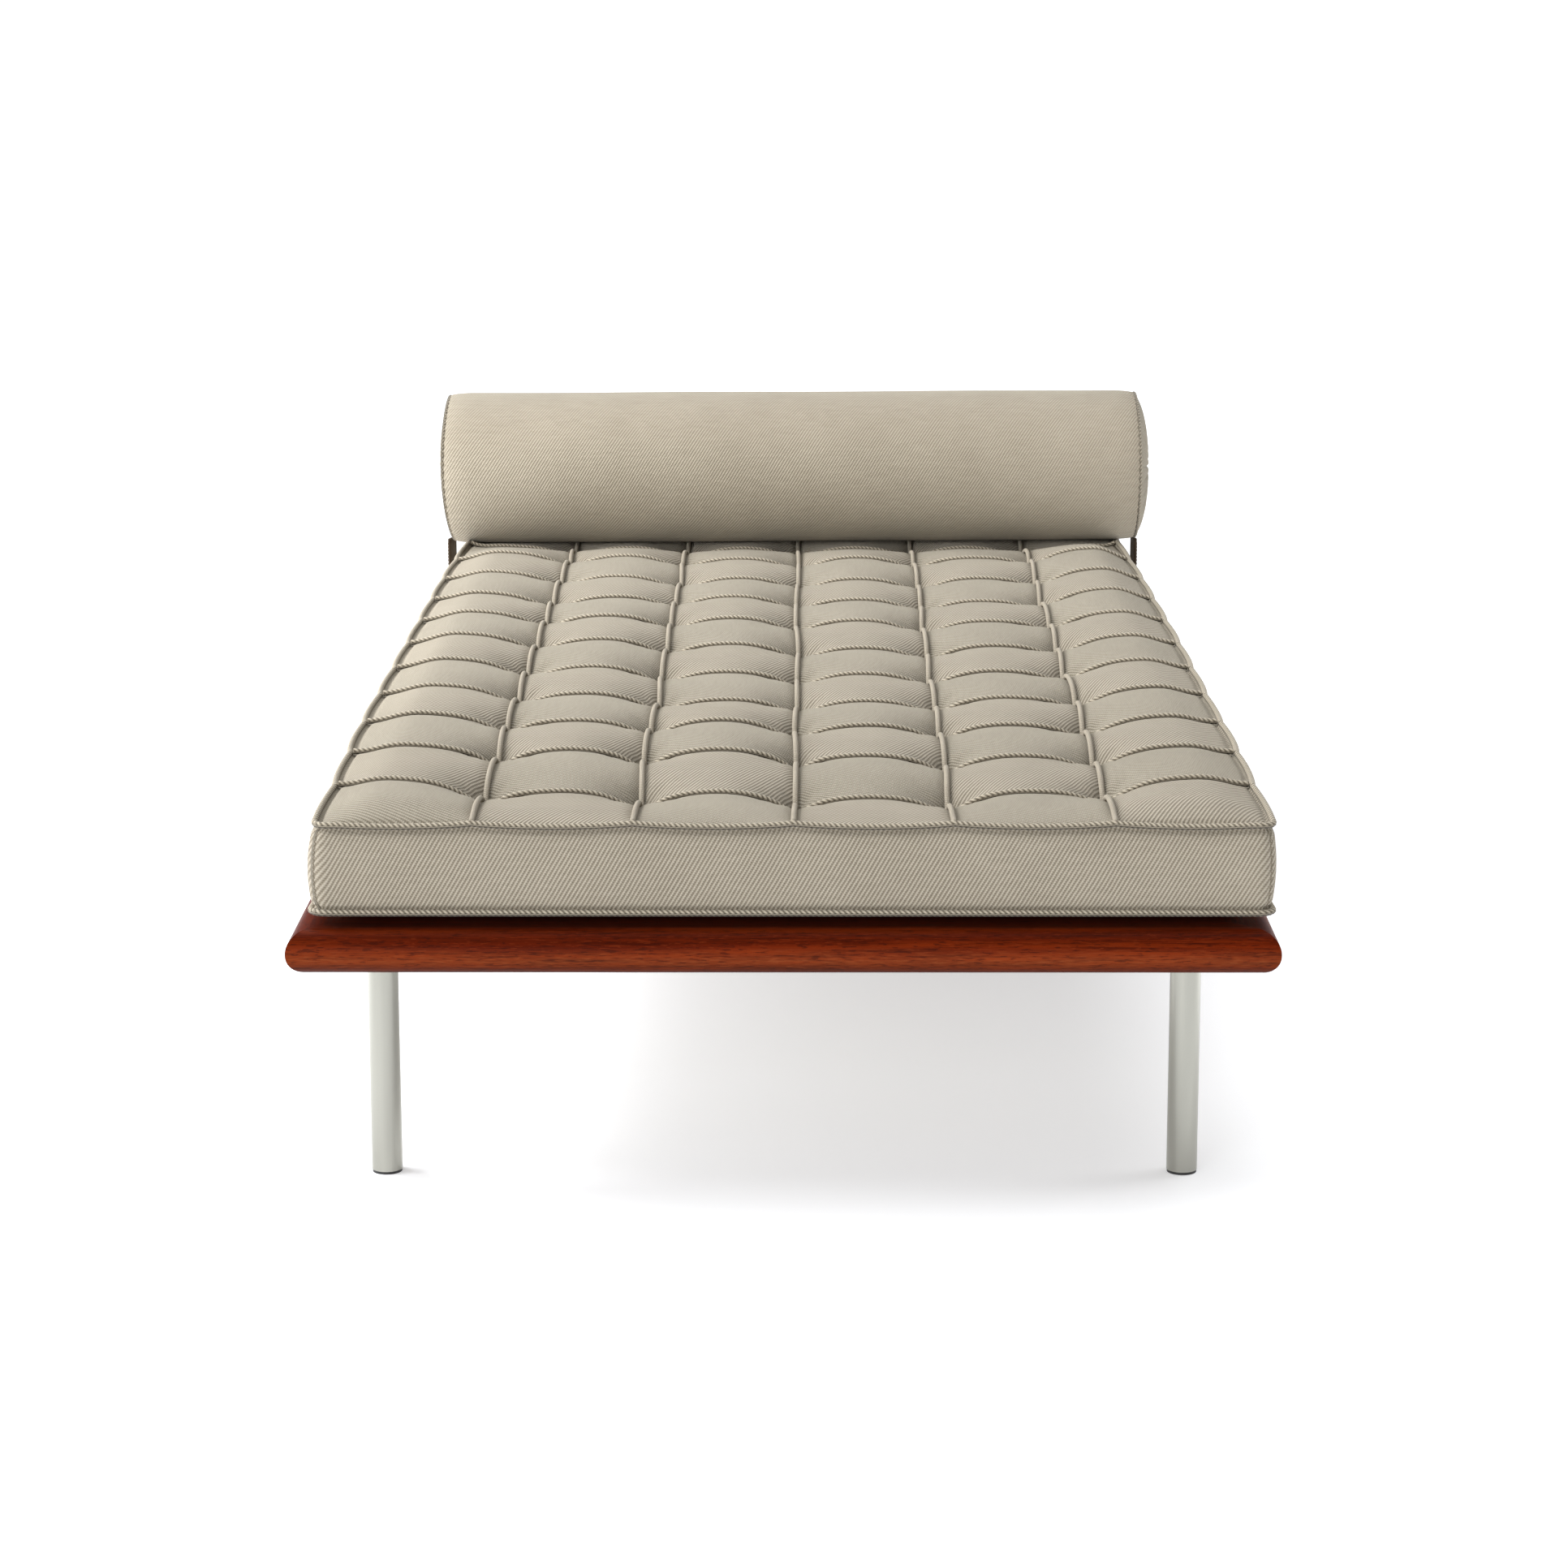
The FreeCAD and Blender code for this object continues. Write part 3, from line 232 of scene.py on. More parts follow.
class Shader:
    """A node material with its Principled shader and short ways to add nodes."""

    def __init__(self, name):
        self.mat = bpy.data.materials.new(name)
        self.mat.use_nodes = True
        self.tree = self.mat.node_tree
        self.bsdf = self.tree.nodes["Principled BSDF"]

    def node(self, kind, **inputs):
        """A new node; each name is one of its settings or else one of its sockets."""
        made = self.tree.nodes.new(kind)
        for key, value in inputs.items():
            if hasattr(made, key):
                setattr(made, key, value)
            else:
                self.put(made.inputs[key.replace("_", " ")], value)
        return made

    def put(self, socket, value):
        if isinstance(value, bpy.types.NodeSocket):
            self.tree.links.new(value, socket)
        else:
            socket.default_value = value

    def set(self, **inputs):
        """Set or link sockets of the Principled shader."""
        for key, value in inputs.items():
            self.put(self.bsdf.inputs[key.replace("_", " ")], value)

    def math(self, operation, a, b=0.0, c=None, clamp=False):
        made = self.tree.nodes.new("ShaderNodeMath")
        made.operation = operation
        made.use_clamp = clamp
        self.put(made.inputs[0], a)
        self.put(made.inputs[1], b)
        if c is not None:
            self.put(made.inputs[2], c)
        return made.outputs[0]

    def plus(self, a, b, clamp=False):
        return self.math("ADD", a, b, clamp=clamp)

    def minus(self, a, b, clamp=False):
        return self.math("SUBTRACT", a, b, clamp=clamp)

    def times(self, a, b, clamp=False):
        return self.math("MULTIPLY", a, b, clamp=clamp)

    def mix(self, factor, a, b):
        made = self.tree.nodes.new("ShaderNodeMix")
        made.data_type = "RGBA"
        self.put(made.inputs["Factor"], factor)
        self.put(made.inputs[6], a)
        self.put(made.inputs[7], b)
        return made.outputs[2]

    def noise(self, vector, scale, detail=3.0, roughness=0.5, distortion=0.0):
        made = self.node("ShaderNodeTexNoise", Vector=vector, Scale=scale, Detail=detail,
                         Roughness=roughness, Distortion=distortion)
        return made.outputs["Fac"]

    def scaled(self, vector, scale):
        return self.node("ShaderNodeMapping", Vector=vector, Scale=scale).outputs["Vector"]

    def ramp(self, factor, stops):
        made = self.tree.nodes.new("ShaderNodeValToRGB")
        self.put(made.inputs["Fac"], factor)
        elements = made.color_ramp.elements
        while len(elements) < len(stops):
            elements.new(0.5)
        for element, (place, colour) in zip(elements, stops):
            element.position = place
            element.color = colour
        return made.outputs["Color"]

    def bump(self, height, strength, distance):
        made = self.node("ShaderNodeBump", Height=height, Strength=strength, Distance=distance)
        return made.outputs["Normal"]

    def coords(self):
        return self.tree.nodes.new("ShaderNodeTexCoord").outputs["Object"]

    def uv(self):
        return self.node("ShaderNodeUVMap", uv_map="cloth").outputs["UV"]

    def attribute(self, name):
        return self.node("ShaderNodeAttribute", attribute_name=name).outputs["Fac"]

    def xyz(self, vector):
        made = self.tree.nodes.new("ShaderNodeSeparateXYZ")
        self.put(made.inputs[0], vector)
        return made.outputs


def srgb(r, g, b):
    """Linear colour from 8-bit display values."""
    def linear(v):
        v = v / 255
        return v / 12.92 if v <= 0.04045 else ((v + 0.055) / 1.055) ** 2.4
    return (linear(r), linear(g), linear(b), 1.0)


# ------------ materials


TWILL_PITCH = 0.0045
TWILL_ANGLE = math.radians(60)
YARN_PITCH = 0.0024


def make_cloth(name, light, dark, pitch=TWILL_PITCH, angle=TWILL_ANGLE, strength=0.55, rib_tone=0.22):
    """Wool twill: slanted ribs crossed by fine yarn, with a soft sheen."""
    s = Shader(name)
    uv = s.uv()
    u, v, _ = s.xyz(uv)
    wobble = s.times(s.minus(s.noise(uv, 22.0, 2.0), 0.5), 0.0016)
    across = s.plus(s.minus(u, s.times(v, 1 / math.tan(angle))), wobble)
    rib = s.math("SINE", s.times(across, TAU / pitch))
    along = s.plus(s.times(u, math.cos(angle)), s.times(v, math.sin(angle)))
    half_turn = s.times(s.math("FLOOR", s.math("DIVIDE", across, pitch)), math.pi)
    yarn = s.math("SINE", s.plus(s.times(along, TAU / YARN_PITCH), half_turn))
    fibre = s.noise(uv, 900.0, 3.0, 0.7)
    slub = s.noise(s.scaled(uv, (30, 260, 1)), 1.0, 3.0, 0.6)
    cloud = s.noise(uv, 7.0, 3.0, 0.55)
    height = s.plus(s.times(rib, 0.5), s.times(yarn, 0.22))
    height = s.plus(height, s.times(fibre, 0.35))
    tone = s.math("MULTIPLY_ADD", rib, rib_tone, 0.52)
    tone = s.plus(tone, s.times(s.minus(slub, 0.5), 0.5))
    tone = s.plus(tone, s.times(s.minus(cloud, 0.5), 0.35))
    tone = s.plus(tone, s.times(yarn, 0.18), clamp=True)
    # Painted sheen: the two sets of turned squares are painted in two shades, as the nap catches the lamps
    # differently.
    nap_sheen_share = s.times(s.attribute("nap_sheen"), 0.16)
    colour = s.mix(nap_sheen_share, s.mix(tone, dark, light), (0.16, 0.155, 0.115, 1))
    # Painted shade: in and beside the button pits the cloth is painted toward a dark, shaded colour.
    pit_shade_mix = s.times(s.attribute("pit_shade"), 0.68)
    s.set(Base_Color=s.mix(pit_shade_mix, colour, srgb(78, 71, 57)),
          Roughness=s.math("MULTIPLY_ADD", fibre, 0.12, 0.78), Normal=s.bump(height, strength, 0.0009),
          Sheen_Weight=0.25, Sheen_Roughness=0.45, Sheen_Tint=(0.9, 0.86, 0.78, 1), Specular_IOR_Level=0.25)
    return s.mat


def make_rope():
    """The twill-wrapped welt: light ridges where its strands stand out, dark grooves between."""
    s = Shader("twill_welt")
    u, v, _ = s.xyz(s.uv())
    phase = s.plus(s.times(v, STRANDS / ROPE_R), s.times(u, TAU * STRANDS / ROPE_LAY))
    strand = s.math("MULTIPLY_ADD", s.math("COSINE", phase), 0.5, 0.5)
    fibre = s.noise(s.uv(), 1100.0, 3.0, 0.7)
    tone = s.math("MULTIPLY_ADD", strand, 0.9, s.times(fibre, 0.3), clamp=True)
    # Painted shade: the lower side of the rope is painted dark, a little less on the strands' ridges.
    rise = s.math("SINE", s.math("DIVIDE", v, ROPE_R))
    painted_underside_shade = s.times(s.minus(0.5, rise), 1.7, clamp=True)
    painted_underside_shade = s.times(painted_underside_shade, s.math("MULTIPLY_ADD", strand, -0.3, 1.0))
    colour = s.mix(tone, srgb(74, 66, 52), srgb(190, 180, 161))
    s.set(Base_Color=s.mix(s.times(painted_underside_shade, 0.92), colour, srgb(42, 36, 26)),
          Roughness=s.math("MULTIPLY_ADD", fibre, 0.12, 0.76),
          Normal=s.bump(s.plus(strand, s.times(fibre, 0.4)), 0.5, 0.0006),
          Sheen_Weight=0.2, Sheen_Roughness=0.45, Specular_IOR_Level=0.2)
    return s.mat


CLOTH_LIGHT = srgb(181, 172, 156)
CLOTH_DARK = srgb(127, 118, 102)
cloth = make_cloth("wool_twill", CLOTH_LIGHT, CLOTH_DARK, strength=0.75, rib_tone=0.52)
bolster_cloth = make_cloth("wool_twill_bolster", srgb(181, 172, 155), srgb(131, 122, 106), 0.0043,
                           math.radians(57))
rope_cloth = make_rope()
cord_cloth = make_cloth("twill_cord", CLOTH_LIGHT, CLOTH_DARK, 0.003, math.radians(70))


RAIL_LOW, RAIL_HIGH = 0.249, 0.294
# Height share up the rail's face where the painted floor reflection is brightest.
REFLECTION_BAND_AT = 0.34


def make_wood(name, grain_axis):
    """Satin reddish-brown mahogany with long grain lines and short pore flecks along one axis."""
    s = Shader(name)
    place = s.coords()

    def stretched(along, across, detail, roughness, distortion=0.0):
        scale = (along, across, across) if grain_axis == "X" else (across, along, across)
        return s.noise(s.scaled(place, scale), 1.0, detail, roughness, distortion)

    broad = stretched(1.6, 34, 4.0, 0.6, 0.9)
    line = stretched(11, 340, 3.0, 0.6, 0.4)
    fleck = stretched(75, 620, 2.0, 0.5)
    cloud = s.noise(s.scaled(place, (5, 5, 5)), 1.0, 2.0)
    base = s.ramp(broad, [(0.22, srgb(78, 18, 1)), (0.42, srgb(108, 30, 3)),
                          (0.58, srgb(138, 47, 7)), (0.78, srgb(94, 25, 2))])
    stripe = s.ramp(line, [(0.34, (0.42, 0.36, 0.32, 1)), (0.5, (1, 1, 1, 1)), (0.68, (1.3, 1.3, 1.24, 1))])
    tinted = s.node("ShaderNodeMix", data_type="RGBA", blend_type="MULTIPLY")
    tinted.inputs["Factor"].default_value = 0.8
    s.put(tinted.inputs[6], base)
    s.put(tinted.inputs[7], stripe)
    pores = s.times(s.math("LESS_THAN", fleck, 0.4), 0.6)
    glint = s.times(s.math("GREATER_THAN", fleck, 0.62), 0.5)
    dark = s.mix(pores, tinted.outputs[2], srgb(38, 11, 6))
    lit = s.mix(glint, dark, srgb(146, 58, 24))
    shaded = s.mix(s.times(cloud, 0.3), lit, srgb(72, 17, 6))
    height = s.minus(s.times(line, 0.4), pores)
    # Painted light on the rail's rounded edge: a painted reflection of the pale floor a third of the way up,
    # broken by the flecks, and painted shade toward its top under the mattress and along its foot.
    _, _, z = s.xyz(place)
    upper = s.math("DIVIDE", s.minus(z, RAIL_LOW), RAIL_HIGH - RAIL_LOW, clamp=True)
    band = s.math("ABSOLUTE", s.minus(upper, REFLECTION_BAND_AT))
    lower = s.minus(1.0, s.math("DIVIDE", band, REFLECTION_BAND_AT), clamp=True)
    painted_reflection = s.times(lower, s.math("MULTIPLY_ADD", fleck, 0.8, -0.12, clamp=True))
    foot_shade_share = s.minus(1.0, s.math("DIVIDE", upper, 0.42), clamp=True)
    wood_with_painted_light = s.mix(painted_reflection, shaded, srgb(160, 88, 46))
    # Painted shade toward the top, under the mattress's overhang.
    wood_with_painted_light = s.mix(s.times(upper, 0.62), wood_with_painted_light, srgb(50, 12, 1))
    # Painted shade along the foot.
    wood_with_painted_light = s.mix(s.times(foot_shade_share, 0.95), wood_with_painted_light, srgb(50, 16, 4))
    s.set(Base_Color=wood_with_painted_light, Roughness=s.math("MULTIPLY_ADD", line, 0.14, 0.36),
          Normal=s.bump(height, 0.14, 0.0006), Coat_Weight=0.02, Coat_Roughness=0.25,
          Specular_IOR_Level=0.04)
    return s.mat


def make_metal(name, colour, roughness, brushed=False):
    """Metal with fine lines in its roughness, tone and bump, drawn out upward where it is brushed."""
    s = Shader(name)
    place = s.coords()
    scale = (900, 900, 5) if brushed else (700, 700, 700)
    line = s.noise(s.scaled(place, scale), 1.0, 3.0, 0.6)
    smudge = s.noise(s.scaled(place, (9, 9, 6)), 1.0, 3.0)
    tone = s.math("MULTIPLY_ADD", line, 0.3, 0.35)
    dim = tuple(c * 0.82 for c in colour[:3]) + (1.0,)
    s.set(Base_Color=s.mix(tone, dim, colour), Metallic=1.0,
          Roughness=s.plus(s.math("MULTIPLY_ADD", line, 0.12, roughness - 0.06),
                           s.times(s.minus(smudge, 0.5), 0.1)),
          Normal=s.bump(line, 0.05, 0.0003))
    return s.mat


def make_plastic(name, colour, dark, roughness, scale=260.0, strength=0.12):
    """Moulded plastic, rubber or foam with a fine speckle."""
    s = Shader(name)
    place = s.coords()
    grit = s.noise(place, scale, 3.0, 0.6)
    cloud = s.noise(place, 9.0, 2.0)
    tone = s.plus(s.times(grit, 0.6), s.times(cloud, 0.4), clamp=True)
    s.set(Base_Color=s.mix(tone, dark, colour),
          Roughness=s.math("MULTIPLY_ADD", grit, 0.15, roughness - 0.07),
          Normal=s.bump(grit, strength, 0.0005))
    return s.mat


def make_webbing():
    """Elastic webbing: close rubber ribs crossed by a fine warp."""
    s = Shader("elastic_webbing")
    place = s.coords()
    x, y, _ = s.xyz(place)
    rib = s.math("SINE", s.times(x, TAU / 0.0022))
    warp = s.math("SINE", s.times(y, TAU / 0.0028))
    grit = s.noise(place, 500.0, 2.0)
    height = s.times(rib, warp)
    tone = s.math("MULTIPLY_ADD", height, 0.3, s.times(grit, 0.8), clamp=True)
    s.set(Base_Color=s.mix(tone, srgb(24, 22, 20), srgb(58, 52, 46)), Roughness=0.82,
          Normal=s.bump(height, 0.5, 0.0006))
    return s.mat


def make_leather():
    """Dark brown strap leather with pebble grain and lighter worn patches."""
    s = Shader("strap_leather_look")
    place = s.coords()
    cells = s.node("ShaderNodeTexVoronoi", Vector=place, Scale=700.0)
    grain = s.noise(place, 420.0, 3.0, 0.6)
    wear = s.noise(place, 26.0, 3.0, 0.6)
    height = s.plus(cells.outputs["Distance"], s.times(grain, 0.5))
    tone = s.plus(s.times(wear, 0.7), s.times(grain, 0.3), clamp=True)
    s.set(Base_Color=s.mix(tone, srgb(40, 31, 21), srgb(90, 72, 53)),
          Roughness=s.math("MULTIPLY_ADD", grain, 0.2, 0.42),
          Normal=s.bump(height, 0.3, 0.0006))
    return s.mat


def make_thread(name, light, dark):
    """Twisted thread or twine."""
    s = Shader(name)
    place = s.coords()
    x, y, z = s.xyz(place)
    twist = s.math("SINE", s.times(s.plus(s.plus(x, y), z), TAU / 0.0011))
    grit = s.noise(place, 900.0, 2.0)
    tone = s.math("MULTIPLY_ADD", twist, 0.25, grit, clamp=True)
    s.set(Base_Color=s.mix(tone, dark, light), Roughness=0.8, Normal=s.bump(twist, 0.4, 0.0003))
    return s.mat


wood_y = make_wood("mahogany_along", "Y")
screw_steel = make_metal("zinc_screw", (0.5, 0.5, 0.48, 1), 0.38)
nylon = make_plastic("black_nylon", srgb(46, 46, 46), srgb(18, 18, 18), 0.45)
leather = make_leather()
stitch = make_thread("stitch_thread", srgb(150, 140, 120), srgb(96, 86, 70))
strap_stitch = make_thread("strap_thread", srgb(120, 96, 70), srgb(70, 52, 36))

SLOT_LOOKS = {
    "frame_wood": make_wood("mahogany_across", "X"),
    "spline_wood": make_wood("mahogany_spline", "Y"),
    "webbing_rubber": make_webbing(),
    "screw_steel": screw_steel,
    "leg_steel": make_metal("satin_stainless", (0.41, 0.405, 0.362, 1), 0.24, brushed=True),
    "hidden_steel": screw_steel,
    "glide_nylon": nylon,
    "insert_brass": make_metal("brass_insert_look", (0.72, 0.55, 0.28, 1), 0.34),
    "snap_metal": make_metal("aged_snap", (0.42, 0.38, 0.3, 1), 0.36),
    "foam": make_plastic("foam_cream", srgb(226, 214, 180), srgb(196, 182, 146), 0.9, 420.0, 0.5),
    "tuft_twine": make_thread("tuft_twine_look", srgb(190, 180, 158), srgb(120, 110, 92)),
    "anchor_nylon": nylon,
    "upholstery_fabric": cloth,
    "strap_leather": leather,
}
for part in frame["record"]["subparts"]:
    cad = NODES[part["node"]]
    look = SLOT_LOOKS[part["material_slot"]]
    if part["node"] in ("left_side_rail", "right_side_rail"):
        look = wood_y
    cad.data.materials.clear()
    cad.data.materials.append(look)


# ------------ mattress

cloth_low, cloth_high = span("mattress_boxing")
MID_X = (cloth_low[0] + cloth_high[0]) / 2
HALF_X = (cloth_high[0] - cloth_low[0]) / 2
HALF_Y = (cloth_high[1] - cloth_low[1]) / 2
top_welt_low, top_welt_high = span("mattress_top_welt")
low_welt_low, low_welt_high = span("mattress_bottom_welt")
BASE_Z = span("mattress_bottom_cover")[0][2] + 0.0002
TOP_WELT_Z = (top_welt_low[2] + top_welt_high[2]) / 2
LOW_WELT_Z = (low_welt_low[2] + low_welt_high[2]) / 2
FLAT_Z = span("lengthwise_welts")[1][2] - 0.0035 + 0.0008
CORNER = 0.014
COLUMNS, ROWS = 6, 12
PITCH_X = (top_welt_high[0] - top_welt_low[0]) / COLUMNS
PITCH_Y = (top_welt_high[1] - top_welt_low[1]) / ROWS
WELT_R, CORD_R = 0.00315, 0.00295
# How far in from the edge its pulls and rises, and the welts' easing onto it, fade out.
EDGE_SOFT, RIM_SOFT = 0.05, 0.03
CELLS = 26
PIT_DEPTH, PIT_REACH = 0.0315, 0.0285
BUTTON_REACH = 0.15
FOLD_HEIGHT, FOLD_AT, FOLD_WIDTH = 0.0009, 0.026, 0.017
GROOVE_DEPTH, GROOVE_HALF = 0.0038, 0.0062
# Along the right side the edge draws in toward the head: places along y and how far, in metres.
DRAWN_AT = (-0.97, -0.7, -0.4, 0.0, 0.4, 0.6, 0.97)
DRAWN_IN = (0.0, 0.003, 0.009, 0.0105, 0.0155, 0.0175, 0.018)
DRAWN_REACH = 0.14
LEFT_BULGE = 0.0055
SIDE_BOW, SIDE_RISE = 0.006, 0.004
PULL_SIDE, PULL_END = 0.0045, 0.001
# How far down the boxing each of its rings lies, from the top welt (0) to the bottom one (1).
BOX_LEVELS = (0.02, 0.04, 0.055, 0.075, 0.12, 0.19, 0.3, 0.42,
              0.55, 0.68, 0.8, 0.88, 0.925, 0.945, 0.96, 0.98)
# The underside's rings: how far in each one lies, and its height as a share of the bottom welt's.
UNDER_CURL = ((0.0005, 1.0), (0.006, 0.93), (0.016, 0.7), (0.028, 0.36), (0.04, 0.1), (0.05, 0.0))
# How high each crosswise seam arches over each panel above the flat top: given in millimetres.
CREST_LIFT = 0.001 * np.array([
    [8.4, -2.2, -3.1, -9.0, -3.1, 9.5],
    [10.2, 8.3, 7.5, 1.1, 1.1, 9.4],
    [12.4, 6.7, 7.7, 1.1, 1.9, 9.3],
    [12.3, 5.3, -2.2, -4.0, 0.6, 11.1],
    [13.4, 6.3, -0.6, -2.5, 1.3, 12.2],
    [14.7, 10.5, 4.2, -0.7, 2.2, 12.4],
    [13.9, 11.6, 8.4, 5.2, 4.1, 13.7],
    [11.4, 8.1, 8.1, 3.8, 2.4, 16.0],
    [12.0, 8.4, 6.3, 4.9, 6.1, 16.5],
    [13.0, 10.5, 6.0, 8.0, 7.0, 18.0],
    [-4.0, -4.0, -4.5, -4.5, -4.0, -4.0],
])
SEAM_X = PITCH_X * (np.arange(COLUMNS + 1) - COLUMNS / 2)
SEAM_Y = PITCH_Y * (np.arange(ROWS + 1) - ROWS / 2)
ideal_x, ideal_y = np.meshgrid(SEAM_X[1:-1], SEAM_Y[1:-1])
rng = np.random.default_rng(7)

# Where the buttons pull down: the seam crossings, a little uneven as sewn by hand.
pit_x = ideal_x + rng.uniform(-0.0022, 0.0022, ideal_x.shape)
pit_y = ideal_y + rng.uniform(-0.0026, 0.0026, ideal_y.shape)
pit_depth = PIT_DEPTH * rng.uniform(0.92, 1.08, pit_x.shape)
fold_phase = rng.uniform(0, TAU, pit_x.shape)
fold_count = rng.integers(7, 10, pit_x.shape)
panel_puff = rng.uniform(0.0026, 0.0048, (ROWS, COLUMNS))


def blend(field, fx, fy):
    """Values of a row-by-column field at places between its rows and columns."""
    cx, cy = fx.astype(int), fy.astype(int)
    tx, ty = smoothstep(fx - cx), smoothstep(fy - cy)
    low = field[cy, cx] * (1 - tx) + field[cy, cx + 1] * tx
    high = field[cy + 1, cx] * (1 - tx) + field[cy + 1, cx + 1] * tx
    return low * (1 - ty) + high * ty


def warp_plan(x, y):
    """Carry ideal plan positions to the hand-sewn ones so that the seams pass through the uneven pits."""
    fx = np.clip(x / PITCH_X + COLUMNS / 2, 0, COLUMNS - 1e-9)
    fy = np.clip(y / PITCH_Y + ROWS / 2, 0, ROWS - 1e-9)
    return x + blend(np.pad(pit_x - ideal_x, 1), fx, fy), y + blend(np.pad(pit_y - ideal_y, 1), fx, fy)


bolster_low, bolster_high = span("bolster_cover")
AXIS_Y = (bolster_low[1] + bolster_high[1]) / 2
AXIS_Z = (bolster_low[2] + bolster_high[2]) / 2
BOLSTER_R = (bolster_high[2] - bolster_low[2]) / 2
BODY_R = BOLSTER_R + 0.0044
SAG = 0.003
TILT = math.radians(0.25)
# How far the bolster's skin stays off the cover, and off the welts' middle lines.
COVER_CLEARANCE, WELT_CLEARANCE = 0.0006, 0.0036


def press(x, y, z, clearance=COVER_CLEARANCE):
    """Hold heights under the resting bolster, which dents the cushion softly."""
    gap = np.clip(np.abs(y - AXIS_Y) / BODY_R, 0, 1)
    painted_underside_shade = AXIS_Z - SAG - BODY_R * np.sqrt(1 - gap ** 2) + x * math.sin(TILT) - clearance
    soft = 0.0015
    low = np.minimum(z, painted_underside_shade)
    return low - soft * np.log(np.exp((low - z) / soft) + np.exp((low - painted_underside_shade) / soft)) * (gap < 1)


def edge_share(x, y):
    """0 at the edge welt, rising to 1 where the top has reached its own height."""
    share = np.ones_like(x)
    for gap, reach in ((HALF_X - np.abs(x), 0.062), (HALF_Y - np.abs(y), 0.058)):
        t = np.clip(gap / reach, 0, 1)
        share = share * np.sin(0.5 * math.pi * t) ** 0.85
    return share


def crease(x, y, grooves=True):
    """The seams' narrow grooves and the panels' soft crowns, above the flat top."""
    fx, fy = x / PITCH_X + COLUMNS / 2, y / PITCH_Y + ROWS / 2
    cx = np.clip(fx.astype(int), 0, COLUMNS - 1)
    cy = np.clip(fy.astype(int), 0, ROWS - 1)
    crown = np.sin(np.pi * np.clip(fx - cx, 0, 1)) ** 0.8 * np.sin(np.pi * np.clip(fy - cy, 0, 1)) ** 0.8
    height = panel_puff[cy, cx] * crown
    if grooves:
        groove = np.zeros_like(x)
        for place, pitch, count in ((fx, PITCH_X, COLUMNS), (fy, PITCH_Y, ROWS)):
            seam = np.round(place)
            near = np.exp(-(np.abs(place - seam) * pitch / GROOVE_HALF) ** 1.8)
            groove = np.maximum(groove, np.where((seam > 0) & (seam < count), near, 0))
        height = height - GROOVE_DEPTH * groove
    return height


def row_crest(x, y):
    """The top's own unevenness: each panel and seam arches to a slightly different height."""
    fx = np.clip(x / PITCH_X + COLUMNS / 2 - 0.5, 0, COLUMNS - 1 - 1e-9)
    fy = np.clip(y / PITCH_Y + ROWS / 2 - 1, 0, ROWS - 2 - 1e-9)
    return blend(CREST_LIFT, fx, fy)


def near_buttons(x, y):
    """For each button: its row and column, which points lie near it, and their offsets from it."""
    for spot in np.ndindex(pit_x.shape):
        dx, dy = x - pit_x[spot], y - pit_y[spot]
        near = (np.abs(dx) < BUTTON_REACH) & (np.abs(dy) < BUTTON_REACH)
        yield spot, near, dx[near], dy[near]


def pits(x, y):
    """The funnels that the buttons pull into the top, with the folds that run out from them."""
    drop = np.zeros_like(x)
    for spot, near, dx, dy in near_buttons(x, y):
        dist = np.sqrt(dx ** 2 + dy ** 2 + 0.0035 ** 2)
        funnel = pit_depth[spot] * np.exp(-dist / PIT_REACH)
        ripple = np.cos(fold_count[spot] * np.arctan2(dy, dx) + fold_phase[spot])
        drop[near] += funnel + FOLD_HEIGHT * ripple * np.exp(-((dist - FOLD_AT) / FOLD_WIDTH) ** 2)
    return drop


def painted_pit_shade(x, y):
    """How dark the cloth is painted about each button: painted shade in each pit, most on the slopes to the
    left behind it, which face away from the light.
    """
    shade = np.zeros_like(x)
    for spot, near, dx, dy in near_buttons(x, y):
        dist = np.hypot(dx, dy)
        all_round = (pit_depth[spot] / PIT_DEPTH * np.exp(-dist / PIT_REACH)) ** 1.25
        side = (0.5 - 0.5 * np.tanh(dx / 0.004)) * (0.5 + 0.5 * np.tanh(dy / 0.006))
        ray = 0.8 + 0.2 * np.cos(44 * np.arctan2(dy, dx))
        shade[near] += 0.6 * all_round + 0.85 * ray * side * np.exp(-(dist / 0.05) ** 1.4)
    return np.clip(shade, 0, 1)


def top_height(x, y, grooves=True):
    """Height of the mattress top over plan points given about the mattress's own centre."""
    z = FLAT_Z + crease(x, y, grooves) + row_crest(x, y)
    return TOP_WELT_Z + (z - TOP_WELT_Z) * edge_share(x, y)


def scallop(along, pitch, count, depth):
    """0 at the seams' ends and depth half-way between them, along one edge."""
    t = along / pitch + count / 2
    return depth * np.sin(np.pi * (t - np.floor(t))) ** 0.7


def edge_in(x, y, waves):
    """How far the edge is pulled in along the sides and along the ends; waves is 1 where seams pinch it."""
    side = waves * (PULL_SIDE - scallop(y, PITCH_Y, ROWS, PULL_SIDE)) + (1 - waves) * 0.35 * PULL_SIDE
    end = waves * (PULL_END - scallop(x, PITCH_X, COLUMNS, PULL_END))
    away_x = smoothstep((HALF_X - np.abs(x)) / (PITCH_X / 2))
    away_y = smoothstep((HALF_Y - np.abs(y)) / (PITCH_Y / 2))
    return side * away_y - SIDE_BOW * smoothstep((HALF_Y - np.abs(y) - 0.1) / 0.4), end * away_x


